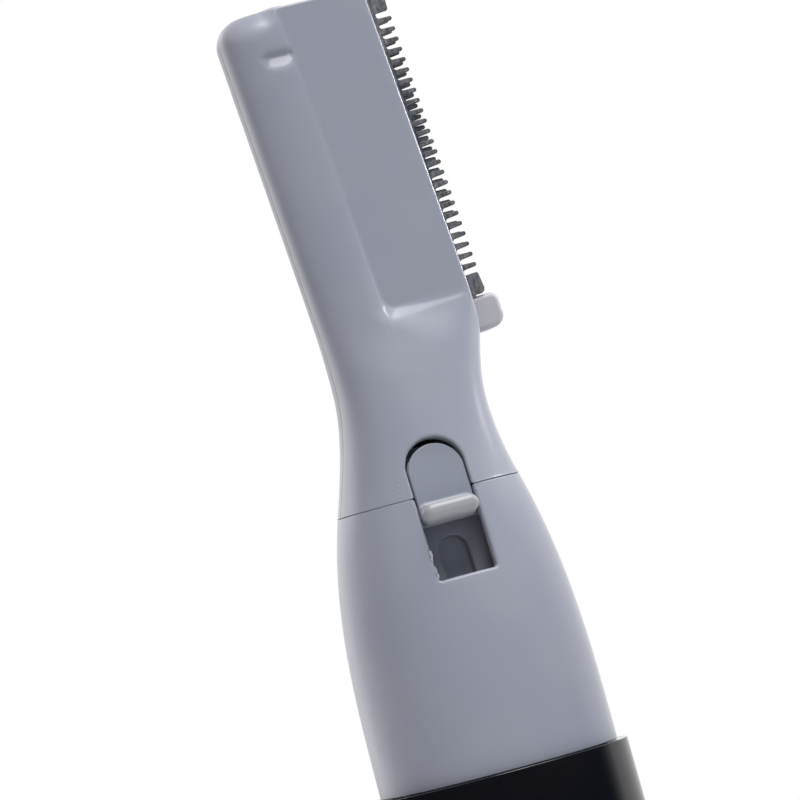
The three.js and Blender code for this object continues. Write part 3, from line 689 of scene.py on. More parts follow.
class Effect(Enum):
    """Surface effects that several finishes share, each a shader node group."""

    GRAIN = "moulded_grain"
    SPECKS = "loose_specks"
    STREAKS = "drawn_streaks"

    def sockets(self) -> dict[str, float]:
        """Names and defaults of the effect's number inputs."""
        return {
            Effect.GRAIN: {"Scale": 3000.0, "Broad Scale": 180.0},
            Effect.SPECKS: {"Scale": 900.0, "Size": 0.12, "Share": 0.05},
            Effect.STREAKS: {"Scale": 5000.0, "Stretch": 0.04},
        }[self]

    def outputs(self) -> tuple[str, ...]:
        """Names of the effect's outputs."""
        return {
            Effect.GRAIN: ("Fine", "Broad"),
            Effect.SPECKS: ("Mask",),
            Effect.STREAKS: ("Fine", "Broad"),
        }[self]

    def tree(self) -> bpy.types.NodeTree:
        """Builds the effect's node group the first time it is asked for.

        Returns:
            The node group.
        """
        if self.value in bpy.data.node_groups:
            return bpy.data.node_groups[self.value]
        group = bpy.data.node_groups.new(self.value, "ShaderNodeTree")
        group.interface.new_socket("Vector", in_out="INPUT", socket_type="NodeSocketVector")
        for name, value in self.sockets().items():
            socket = group.interface.new_socket(name, in_out="INPUT", socket_type="NodeSocketFloat")
            socket.default_value = value
        for name in self.outputs():
            group.interface.new_socket(name, in_out="OUTPUT", socket_type="NodeSocketFloat")
        wiring = Wiring(group)
        source = wiring.add("NodeGroupInput").outputs
        makers = {Effect.GRAIN: self.grain, Effect.SPECKS: self.specks, Effect.STREAKS: self.streaks}
        target = wiring.add("NodeGroupOutput")
        for name, socket in zip(self.outputs(), makers[self](wiring, source)):
            wiring.feed(target.inputs[name], socket)
        return group

    @staticmethod
    def grain(wiring: Wiring, source: object) -> list[bpy.types.NodeSocket]:
        """Fine moulded texture and slow cloudy variation.

        Args:
            wiring: The group's node tree.
            source: The group's inputs.

        Returns:
            Strength of both.
        """
        fine = wiring.noise(source["Vector"], source["Scale"], 2.0, 0.6)
        broad = wiring.noise(source["Vector"], source["Broad Scale"], 3.0, 0.5)
        return [fine, broad]

    @staticmethod
    def specks(wiring: Wiring, source: object) -> list[bpy.types.NodeSocket]:
        """Sparse round specks, in a share of the cells of a Voronoi pattern.

        Args:
            wiring: The group's node tree.
            source: The group's inputs.

        Returns:
            Mask of the specks.
        """
        cells = wiring.add("ShaderNodeTexVoronoi", {"Vector": source["Vector"], "Scale": source["Scale"]})
        chance = wiring.add("ShaderNodeSeparateColor", {"Color": cells.outputs["Color"]}).outputs[0]
        chosen = wiring.math("LESS_THAN", chance, source["Share"])
        near = wiring.math("LESS_THAN", cells.outputs["Distance"], source["Size"])
        return [wiring.math("MULTIPLY", chosen, near)]

    @staticmethod
    def streaks(wiring: Wiring, source: object) -> list[bpy.types.NodeSocket]:
        """Streaks drawn out along Z, fine and broad.

        Args:
            wiring: The group's node tree.
            source: The group's inputs.

        Returns:
            Strength of both.
        """
        size = wiring.add("ShaderNodeCombineXYZ", {"X": 1.0, "Y": 1.0, "Z": source["Stretch"]}).outputs[0]
        drawn = wiring.add("ShaderNodeVectorMath", operation="MULTIPLY")
        wiring.feed(drawn.inputs[0], source["Vector"])
        wiring.feed(drawn.inputs[1], size)
        fine = wiring.noise(drawn.outputs[0], source["Scale"], 3.0, 0.6)
        broad = wiring.noise(source["Vector"], wiring.math("MULTIPLY", source["Scale"], 0.4), 4.0, 0.6)
        return [fine, broad]

    def place(self, wiring: Wiring, vector: object, **values: float) -> object:
        """Places the effect in a material.

        Args:
            wiring: The material's node tree.
            vector: Coordinates that it follows.
            values: Its number inputs, with spaces as underscores.

        Returns:
            The group node's outputs.
        """
        node = wiring.add("ShaderNodeGroup", node_tree=self.tree())
        wiring.feed(node.inputs["Vector"], vector)
        for name, value in values.items():
            node.inputs[name.replace("_", " ")].default_value = value
        return node.outputs


@dataclass(frozen=True)
class Finish:
    """Base of every finish: one material, made the first time it is asked for."""

    name: str
    color: Color
    other: Color
    rough: float

    def material(self) -> bpy.types.Material:
        """Makes the finish's material, or finds it once it is made.

        Returns:
            The material.
        """
        if self.name in bpy.data.materials:
            return bpy.data.materials[self.name]
        material = bpy.data.materials.new(self.name)
        material.use_nodes = True
        material.diffuse_color = (*self.color, 1.0)
        material.node_tree.nodes.clear()
        wiring = Wiring(material.node_tree)
        shader = wiring.add("ShaderNodeBsdfPrincipled")
        wiring.add("ShaderNodeOutputMaterial", {"Surface": shader.outputs[0]})
        self.wire(wiring, shader, wiring.add("ShaderNodeTexCoord").outputs["Object"])
        return material

    def wire(self, wiring: Wiring, shader: bpy.types.Node, spot: bpy.types.NodeSocket) -> None:
        """Connects the finish's own nodes to its shader.

        Args:
            wiring: The material's node tree.
            shader: Its Principled shader.
            spot: Object coordinates.
        """
        raise NotImplementedError

    @staticmethod
    def relief(wiring: Wiring, shader: bpy.types.Node, height: object, strength: float, depth: float) -> None:
        """Feeds a bump to the shader's normal."""
        bump = wiring.add("ShaderNodeBump", {"Height": height, "Strength": strength, "Distance": depth})
        wiring.feed(shader.inputs["Normal"], bump.outputs[0])


@dataclass(frozen=True)
class MouldedPlastic(Finish):
    """Satin moulded plastic with a fine grain, cloudy tint and a few loose specks."""

    grain: float = 2400.0
    depth: float = 0.0000025
    speck: Color = (0.275, 0.28, 0.33)
    speck_share: float = 0.004
    bloom: float = 0.5

    def wire(self, wiring: Wiring, shader: bpy.types.Node, spot: bpy.types.NodeSocket) -> None:
        """Connects tint, specks, roughness and grain.

        Args:
            wiring: The material's node tree.
            shader: Its Principled shader.
            spot: Object coordinates.
        """
        grain = Effect.GRAIN.place(wiring, spot, Scale=self.grain, Broad_Scale=150.0)
        specks = Effect.SPECKS.place(wiring, spot, Scale=420.0, Size=0.05, Share=self.speck_share)
        tint = wiring.blend(wiring.ramp(grain["Broad"], 0.35, 0.68), self.color, self.other)
        wiring.feed(shader.inputs["Base Color"], wiring.blend(specks["Mask"], tint, self.speck))
        rough = wiring.ramp(grain["Broad"], 0.3, 0.7, self.rough - 0.02, self.rough + 0.03)
        wiring.feed(shader.inputs["Roughness"], rough)
        shader.inputs["IOR"].default_value = 1.49
        shader.inputs["Sheen Weight"].default_value = self.bloom
        shader.inputs["Sheen Roughness"].default_value = 0.3
        self.relief(wiring, shader, grain["Fine"], 0.3, self.depth)


@dataclass(frozen=True)
class ProudTintPlastic(MouldedPlastic):
    """Moulded plastic with a lighter, warmer tint where it stands proud of a plane."""

    proud_tint: Color = (0.325, 0.32, 0.338)
    facing: Station = (0.0, -1.0, 0.0)
    from_level: float = 0.0
    to_level: float = 0.001

    def wire(self, wiring: Wiring, shader: bpy.types.Node, spot: bpy.types.NodeSocket) -> None:
        """Adds the lighter, warmer tint of the proud part to the moulded finish.

        Args:
            wiring: The material's node tree.
            shader: Its Principled shader.
            spot: Object coordinates.
        """
        super().wire(wiring, shader, spot)
        level = wiring.add("ShaderNodeVectorMath", operation="DOT_PRODUCT")
        wiring.feed(level.inputs[0], spot)
        wiring.feed(level.inputs[1], self.facing)
        share = wiring.ramp(level.outputs["Value"], self.from_level, self.to_level)
        tint = shader.inputs["Base Color"].links[0].from_socket
        wiring.feed(shader.inputs["Base Color"], wiring.blend(share, tint, self.proud_tint))


@dataclass(frozen=True)
class GlossPlastic(Finish):
    """Polished black plastic with faint handling haze, hairline scuffs and a slight ripple."""

    def wire(self, wiring: Wiring, shader: bpy.types.Node, spot: bpy.types.NodeSocket) -> None:
        """Connects haze, scuffs and ripple.

        Args:
            wiring: The material's node tree.
            shader: Its Principled shader.
            spot: Object coordinates.
        """
        haze = Effect.GRAIN.place(wiring, spot, Scale=900.0, Broad_Scale=70.0)
        scuff = Effect.STREAKS.place(wiring, spot, Scale=2600.0, Stretch=0.03)
        dust = Effect.SPECKS.place(wiring, spot, Scale=700.0, Size=0.05, Share=0.03)
        tint = wiring.blend(wiring.ramp(haze["Broad"], 0.4, 0.75), self.color, self.other)
        wiring.feed(shader.inputs["Base Color"], wiring.blend(dust["Mask"], tint, (0.05, 0.05, 0.055)))
        smear = wiring.ramp(haze["Broad"], 0.45, 0.8, self.rough, self.rough + 0.08)
        line = wiring.ramp(scuff["Fine"], 0.68, 0.78, 0.0, 0.12)
        wiring.feed(shader.inputs["Roughness"], wiring.math("ADD", smear, line))
        shader.inputs["IOR"].default_value = 1.5
        self.relief(wiring, shader, haze["Broad"], 0.12, 0.00006)


@dataclass(frozen=True)
class WorkedSteel(Finish):
    """Sheet metal with drawn streaks and darker stains."""

    streak: float = 5200.0
    stretch: float = 0.05
    stain: float = 0.55

    def wire(self, wiring: Wiring, shader: bpy.types.Node, spot: bpy.types.NodeSocket) -> None:
        """Connects streaks and stains to colour, roughness and relief.

        Args:
            wiring: The material's node tree.
            shader: Its Principled shader.
            spot: Object coordinates.
        """
        streak = Effect.STREAKS.place(wiring, spot, Scale=self.streak, Stretch=self.stretch)
        stained = wiring.ramp(streak["Broad"], self.stain - 0.12, self.stain + 0.14)
        plain = wiring.blend(stained, self.color, self.other)
        wiring.feed(shader.inputs["Base Color"], self.tint(wiring, plain))
        rough = wiring.ramp(streak["Fine"], 0.3, 0.7, self.rough - 0.08, self.rough + 0.12)
        wiring.feed(shader.inputs["Roughness"], rough)
        shader.inputs["Metallic"].default_value = 1.0
        self.relief(wiring, shader, streak["Fine"], 0.2, 0.000003)

    def tint(self, wiring: Wiring, plain: bpy.types.NodeSocket) -> bpy.types.NodeSocket:
        """Last change to the colour: none on plain sheet."""
        return plain


@dataclass(frozen=True)
class GroundSteel(WorkedSteel):
    """Blade steel with painted shade on its eased edges, which the mesh marks by an attribute."""

    # Colour of the painted shade on the eased edges.
    edge: Color = (0.09, 0.09, 0.095)
    mark: str = "eased"

    def tint(self, wiring: Wiring, plain: bpy.types.NodeSocket) -> bpy.types.NodeSocket:
        """Darkens the marked edges with painted shade."""
        share = wiring.add("ShaderNodeAttribute", attribute_name=self.mark).outputs["Fac"]
        return wiring.blend(share, plain, self.edge)


@dataclass(frozen=True)
class CellJacket(Finish):
    """Plain foil jacket of a dry cell, with a bright ring at each end."""

    ring_low: float = 0.0122
    ring_high: float = 0.0552
    ring: Color = (0.62, 0.6, 0.56)

    def wire(self, wiring: Wiring, shader: bpy.types.Node, spot: bpy.types.NodeSocket) -> None:
        """Connects the jacket, its rings and a fine foil grain.

        Args:
            wiring: The material's node tree.
            shader: Its Principled shader.
            spot: Object coordinates.
        """
        height = wiring.add("ShaderNodeSeparateXYZ", {"Vector": spot}).outputs["Z"]
        foil = Effect.STREAKS.place(wiring, spot, Scale=2400.0, Stretch=0.2)
        jacket = wiring.blend(wiring.ramp(foil["Broad"], 0.4, 0.7), self.color, self.other)
        above = wiring.math("GREATER_THAN", height, self.ring_high)
        below = wiring.math("LESS_THAN", height, self.ring_low)
        ends = wiring.math("ADD", above, below, clamp=True)
        wiring.feed(shader.inputs["Base Color"], wiring.blend(ends, jacket, self.ring))
        rough = wiring.ramp(foil["Fine"], 0.3, 0.7, self.rough - 0.06, self.rough + 0.08)
        wiring.feed(shader.inputs["Roughness"], rough)
        shader.inputs["Metallic"].default_value = 0.75
        self.relief(wiring, shader, foil["Fine"], 0.2, 0.000006)


def fit(obj: bpy.types.Object, body: Body, slot: Slot, finish: Finish, *nodes: str) -> None:
    """Dresses a finished piece and ties it to the frame.

    Args:
        obj: The piece.
        body: Body that it moves with.
        slot: Record slot of its finish; not used.
        finish: Finish that it shows.
        nodes: CAD nodes that it stands for.
    """
    obj.data.materials.clear()
    obj.data.materials.append(finish.material())
    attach(obj, body.value)
    if nodes:
        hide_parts(*nodes)
    LOG.info("%s on %s: %d faces", obj.name, body.value, len(obj.data.polygons))


@dataclass
class BatterySleeve:
    """Black sleeve that closes over the cell: a barrelled oval tube with a flat, rounded base."""

    form: BodyForm
    belly: float = 0.345
    floor: float = 2.0
    base_round: float = 1.8
    base_ring: float = 0.4
    base_centre: float = 4.0
    rim_round: float = 0.07
    around: int = 144

    def swell(self, z: float) -> float:
        """How far the barrelled side stands out at a height."""
        return self.belly * math.sin(math.pi * z / self.form.rim_z)

    def profile(self) -> list[tuple[float, float]]:
        """Section of the sleeve, from the middle of its base up, over the rim and down the bore.

        Returns:
            How far the outline grows, and the height, of each ring.
        """
        step, rim = self.form.rim_step, self.form.rim_z
        turn = np.linspace(0, math.pi / 2, 9)
        edge = step - self.base_round
        points = [(edge - self.base_centre, 0.0), (edge - self.base_ring, 0.0)]
        for a in turn:
            z = self.base_round * (1 - math.cos(a))
            points.append((step + self.swell(z) - self.base_round * (1 - math.sin(a)), z))
        side = np.linspace(self.base_round, rim - self.rim_round, 30)[1:]
        points += [(step + self.swell(z), z) for z in side]
        for a in turn[1:]:
            inward = self.rim_round * (1 - math.cos(a))
            points.append((step + self.swell(rim) - inward, rim - self.rim_round * (1 - math.sin(a))))
        bore = step - self.form.sleeve_wall
        points += [(bore + 0.15, rim), (bore + 0.02, rim - 0.1), (bore, rim - 0.25)]
        points += [(bore, z) for z in np.linspace(rim - 4, self.floor + 0.3, 10)]
        points += [(bore - 0.1, self.floor + 0.06), (bore - 0.4, self.floor)]
        return points

    def build(self) -> bpy.types.Object:
        """Lofts the profile round the oval and closes both floors.

        Returns:
            The sleeve.
        """
        form = self.form
        angle = np.linspace(0, 2 * math.pi, self.around, endpoint=False)
        power = 2 / form.rim_squareness
        c, s = np.cos(angle), np.sin(angle)
        ring_x = np.sign(c) * np.abs(c) ** power
        ring_y = np.sign(s) * np.abs(s) ** power
        rows = self.profile()
        n = self.around
        points = []
        for grow, z in rows:
            x, y = (form.rim_half_width + grow) * ring_x, (form.rim_half_depth + grow) * ring_y
            points.append(np.stack([x, y, np.full(n, z)], axis=1))
        faces = []
        for level in range(len(rows) - 1):
            for k in range(n):
                a, b = level * n + k, level * n + (k + 1) % n
                faces.append([a, b, b + n, a + n])
        last = (len(rows) - 1) * n
        low, high = len(rows) * n, len(rows) * n + 1
        for k in range(n):
            faces.append([low, (k + 1) % n, k])
            faces.append([high, last + k, last + (k + 1) % n])
        centres = np.array([[0, 0, 0.0], [0, 0, self.floor]])
        return mesh_object("sleeve_skin", np.concatenate([*points, centres]), faces)

    def dress(self, finish: Finish) -> None:
        """Builds the sleeve and fits it to the handle."""
        fit(self.build(), Body.HANDLE, Slot.SLEEVE, finish, "battery_sleeve")


@dataclass
class BodyCollar:
    """Flared grey collar with the lower part of the switch slot, a skirt below and a tongue above."""

    form: BodyForm
    switch: SwitchPlane
    skirt_length: float = 9.0
    overlap: float = 2.0
    skirt_round: float = 0.2
    bore_past: float = 1.0
    ring_wall: float = 1.0
    tongue_round: float = 0.15
    tongue_front_y: float = -1.0
    slot_round: float = 0.32

    def solid(self, x: Array, y: Array, z: Array) -> Array:
        """Distance to the collar.

        Args:
            x: X of the points.
            y: Y of the points.
            z: Z of the points.

        Returns:
            Distance, negative inside.
        """
        form = self.form
        fine = form.seam_share(x)
        low, high = form.rim_z + form.seam_gap, form.seam_z - form.seam_gap / 2 * fine
        outside = form.skin(x, y, z)
        shell = meet(meet(outside, low - z, form.seam_round), z - high, form.seam_round * fine)
        skirt_foot = form.rim_z - self.skirt_length
        skirt_top = form.rim_z + self.overlap
        skirt = meet(form.tube(x, y, form.run_gap), slab(z, skirt_foot, skirt_top), self.skirt_round)
        hollow = np.maximum(outside + form.wall, skirt_top - z)
        bore = np.maximum(form.tube(x, y, form.run_gap + form.wall), z - skirt_top - self.bore_past)
        tube = np.maximum(np.minimum(shell, skirt), -np.minimum(hollow, bore))
        # The tongue is a ring that reaches into the head, and a step below the seam ties it to the wall.
        inset = form.wall + form.seat_gap
        inner = -(outside + inset + self.ring_wall)
        ring = np.maximum(outside + inset, inner)
        step = np.maximum(np.maximum(outside + form.wall / 2, inner), z - high)
        tongue_foot = form.seam_z - self.overlap
        tongue = meet(ring, slab(z, tongue_foot, form.seam_z + self.overlap), self.tongue_round)
        tongue = np.minimum(tongue, np.maximum(step, tongue_foot - z))
        whole = np.minimum(tube, np.maximum(tongue, self.tongue_front_y - y))
        whole = carve(whole, self.switch.slot(x, y, z), self.slot_round)
        return np.maximum(whole, -self.switch.clearance(x, y, z))

    def build(self) -> bpy.types.Object:
        """Meshes the collar, finest about the slot.

        Returns:
            The collar.
        """
        xs = spaced((-10.1, -3, 0.25), (-3, 3, 0.12), (3, 10.1, 0.25))
        ys = spaced((-9.5, -5.2, 0.16), (-5.2, 9.5, 0.38))
        skirt, slot = [(60.7, 69.8, 0.6), (69.8, 70.4, 0.06), (70.4, 85, 0.45)], (85, 92.2, 0.14)
        zs = spaced(*skirt, slot, (92.2, 92.6, 0.05), (92.6, 94.8, 0.2))
        return Skin(self.solid, xs, ys, zs).build("collar_skin")

    def dress(self, finish: Finish) -> None:
        """Builds the collar and fits it to the chassis."""
        fit(self.build(), Body.CHASSIS, Slot.SHELL, finish, "body_collar")


@dataclass(frozen=True)
class Climb:
    """Profile of a recess's side: a short soft rise at its foot on top of a long easy one.

    Args:
        share: Share of the depth in the short rise.
        run: Length of the short rise.
        reach: Length of the easy rise.
    """

    share: float
    run: float
    reach: float

    def side(
        self, away: Array, outward: Array, depth: Array, short: Array | float = 1.0, easy: Array | float = 1.0
    ) -> Array:
        """Distance to the recess at a side.

        Args:
            away: How far the points are from the side's foot, away from the recess.
            outward: How far they are in front of the recess's floor.
            depth: Depth of the recess there.
            short: How many times larger the short rise is there.
            easy: How many times longer the easy rise is there.

        Returns:
            Distance, negative in the recess.
        """
        beyond = np.maximum(away, 0.0)
        run, share, reach = self.run * short, self.share * short, self.reach * easy
        t = np.clip(beyond / run, 0.0, 1.0)
        rest = 1 - np.clip(beyond / reach, 0.0, 1.0)
        bend = t**3 * (t * (6 * t - 15) + 10)
        height = depth * (share * bend + (1 - share) * (1 - rest * rest))
        slope = depth * (share * 30 * (t * (1 - t)) ** 2 / run + (1 - share) * 2 * rest / reach)
        return (height + slope * np.minimum(away, 0.0) - outward) / np.sqrt(1 + slope * slope)


@dataclass
class TrimmerHead:
    """Front and rear shells of the leaning paddle head."""

    form: BodyForm
    switch: SwitchPlane
    panel_y: float = -3.3
    panel_inner_y: float = -1.65
    pocket_back_y: float = 2.75
    pocket_foot_z: float = 103.8
    wall_side: Climb = Climb(0.15, 0.4, 1.6)
    top_side: Climb = Climb(0.5, 0.5, 1.7)
    foot_side: Climb = Climb(0.13, 1.25, 6.5)
    recess_margin: float = 1.04
    top_start: float = 5.2
    top_blend: float = 1.6
    foot_raise: float = 0.35
    foot_lift: float = 0.014
    plan_corner: float = 0.6
    panel_round: float = 0.08
    recess_round: float = 0.25
    spine_skin: float = 1.4
    top_skin: float = 0.6
    top_wall: float = 0.8
    top_round: float = 0.3
    crown_round: float = 0.2
    open_slope: float = 1.5
    lip: float = 0.06
    lip_rise: float = 0.24
    lip_start: float = 1.8
    lip_run: float = 3.0
    front_setback: float = 0.36
    front_round: float = 0.26
    rear_setback: float = 0.5
    rear_round: float = 0.4
    groove_drop: float = 3.6
    groove_above: float = 0.12
    groove_below: float = 0.3
    groove_length: float = 2.8
    groove_end: float = 0.4
    groove_floor_y: float = -3.1
    groove_ramp: float = 2.0
    groove_brow: float = 0.8
    groove_end_ramp: float = 0.9
    groove_overrun: float = 0.02
    groove_corner: float = 0.4
    groove_fillet: float = 0.1
    groove_edge: float = 0.2
    nib_y: float = -2.0
    nib_sink: float = 0.15
    nib_half: Station = (0.95, 0.6, 0.3)
    nib_fillet: float = 0.3
    slot_round: float = 0.2

    def blank(self, x: Array, y: Array, z: Array) -> Array:
        """Distance to the head's outside before it is parted or cut.

        Args:
            x: X of the points.
            y: Y of the points.
            z: Z of the points.

        Returns:
            Distance, negative inside.
        """
        form = self.form
        near = np.clip((form.seam_z + self.lip_rise - z) / self.lip_rise, 0.0, 1.0)
        beside = np.clip((x - self.lip_start) / self.lip_run, 0.0, 1.0)
        outside = form.skin(x, y, z) - self.lip * near * near * beside
        fine = form.seam_share(x)
        outside = meet(outside, form.seam_z + form.seam_gap / 2 * fine - z, form.seam_round * fine)
        return meet(outside, z - form.top_z, self.top_round)

    def hollow(self, x: Array, y: Array, z: Array) -> Array:
        """Distance to the room inside the neck and the paddle.

        Args:
            x: X of the points.
            y: Y of the points.
            z: Z of the points.

        Returns:
            Distance, negative in the room.
        """
        form = self.form
        neck = np.maximum(form.skin(x, y, z) + form.wall, z - self.pocket_foot_z - self.spine_skin)
        side = form.spine_at(z) + self.spine_skin - x
        level = slab(z, self.pocket_foot_z, form.top_z - self.top_skin)
        pocket = np.maximum(np.maximum(side, level), slab(y, self.panel_inner_y, self.pocket_back_y))
        open_side = self.open_slope * np.maximum(x - form.recess_at(z), 0.0)
        return np.minimum(neck, np.maximum(pocket, form.skin(x, y, z) + self.top_wall - open_side))

    def recess(self, x: Array, y: Array, z: Array) -> Array:
        """Distance to the recess in front of the panel, whose sides climb first and then ease out.

        Args:
            x: X of the points.
            y: Y of the points.
            z: Z of the points.

        Returns:
            Distance, negative in the recess.
        """
        form = self.form
        outward = self.panel_y - y
        depth = self.recess_margin * (hermite(form.curves["depth"], z) + self.panel_y)
        away = form.recess_at(z) - x
        near_top = np.clip((z - form.top_z + self.top_start) / self.top_blend, 0.0, 1.0)
        wall = self.wall_side.side(away, outward, depth) * (1 - near_top)
        wall = wall + self.top_side.side(away, outward, depth) * near_top
        # The foot's short rise flattens towards the blade, and its easy rise is short at the inner corner.
        inner = 0.5 * (np.sqrt(away * away + 1.0) - away)
        short = np.maximum(1.05 - 0.09 * inner, 0.35)
        easy = np.minimum(0.2 + 0.16 * inner, 1.0)
        foot = self.foot_side.side(form.foot_z + self.foot_raise - z, outward, depth, short, easy)
        foot = foot + self.foot_lift * np.maximum(form.foot_z - z, 0.0) ** 2
        return meet(meet(wall, foot, self.plan_corner), -outward, self.panel_round)

    def groove(self, x: Array, y: Array, z: Array) -> Array:
        """Distance to the snap groove on the spine, whose lower side slopes out.

        Args:
            x: X of the points.
            y: Y of the points.
            z: Z of the points.

        Returns:
            Distance, negative in the groove.
        """
        middle = self.form.top_z - self.groove_drop
        inner = self.form.recess_at(z)
        outward = self.groove_floor_y - y
        upper = z - middle + self.groove_above - self.groove_brow * outward
        lower = middle - self.groove_below - self.groove_ramp * outward - z
        end = inner - self.groove_length + self.groove_end - self.groove_end_ramp * outward - x
        sides = np.maximum(upper / math.hypot(1, self.groove_brow), lower / math.hypot(1, self.groove_ramp))
        ends = np.maximum(end / math.hypot(1, self.groove_end_ramp), x - inner - self.groove_overrun)
        return meet(meet(sides, ends, self.groove_corner), -outward, self.groove_fillet)

    def nib(self, x: Array, y: Array, z: Array) -> Array:
        """Distance to the small nib on the top edge."""
        middle = float(self.form.recess_at(np.array(self.form.top_z)))
        return pebble(x, y, z, (middle, self.nib_y, self.form.top_z - self.nib_sink), self.nib_half)

    def front(self, x: Array, y: Array, z: Array) -> Array:
        """Distance to the front shell.

        Args:
            x: X of the points.
            y: Y of the points.
            z: Z of the points.

        Returns:
            Distance, negative inside.
        """
        form = self.form
        whole = carve(self.blank(x, y, z), self.recess(x, y, z), self.recess_round)
        whole = carve(whole, self.groove(x, y, z), self.groove_edge)
        whole = meet(whole, z - form.top_z, self.crown_round)
        whole = merge(whole, self.nib(x, y, z), self.nib_fillet)
        edge = (x - form.edge_at(z) + self.front_setback) * math.cos(math.radians(form.edge_lean))
        whole = meet(whole, edge, self.front_round)
        whole = np.maximum(whole, -self.hollow(x, y, z))
        whole = meet(whole, y - form.parting_y + form.seam_gap / 2, form.seam_round)
        whole = carve(whole, self.switch.slot(x, y, z), self.slot_round)
        return np.maximum(whole, -self.switch.clearance(x, y, z))

    def rear(self, x: Array, y: Array, z: Array) -> Array:
        """Distance to the rear shell, set back behind the blade.

        Args:
            x: X of the points.
            y: Y of the points.
            z: Z of the points.

        Returns:
            Distance, negative inside.
        """
        form = self.form
        edge = (x - form.edge_at(z) + self.rear_setback) * math.cos(math.radians(form.edge_lean))
        whole = meet(self.blank(x, y, z), edge, self.rear_round)
        whole = np.maximum(whole, -self.hollow(x, y, z))
        return meet(whole, form.parting_y + form.seam_gap / 2 - y, form.seam_round)

    def build(self) -> list[bpy.types.Object]:
        """Meshes both shells, the front one finest about the slot, the recess and the groove.

        Returns:
            The front and the rear shell.
        """
        xs = spaced((-8.4, -3.3, 0.2), (-3.3, 2.8, 0.12), (2.8, 4.6, 0.2), (4.6, 8.6, 0.13))
        ys = spaced((-7.2, -4.3, 0.2), (-4.3, -2.4, 0.13), (-2.4, -0.5, 0.25), (-0.5, -0.1, 0.05))
        neck = [(92.4, 92.8, 0.05), (92.8, 97.6, 0.13), (97.6, 106, 0.25), (106, 108.4, 0.14)]
        zs = spaced(*neck, (108.4, 128.4, 0.3), (128.4, 133.7, 0.11))
        front = Skin(self.front, xs, ys, zs).build("head_front_skin")
        xs = spaced((-8.4, 4.4, 0.25), (4.4, 8.6, 0.16))
        ys = spaced((-0.3, 0.0, 0.05), (0.0, 7.3, 0.24))
        zs = spaced((92.4, 92.8, 0.05), (92.8, 130.6, 0.32), (130.6, 133.7, 0.15))
        return [front, Skin(self.rear, xs, ys, zs).build("head_rear_skin")]

    def dress(self, finish: Finish) -> None:
        """Builds both shells and fits them to the chassis.

        Args:
            finish: Finish of both.
        """
        front, rear = self.build()
        fit(front, Body.CHASSIS, Slot.SHELL, finish, "head_front_shell")
        fit(rear, Body.CHASSIS, Slot.SHELL, finish, "head_rear_shell")


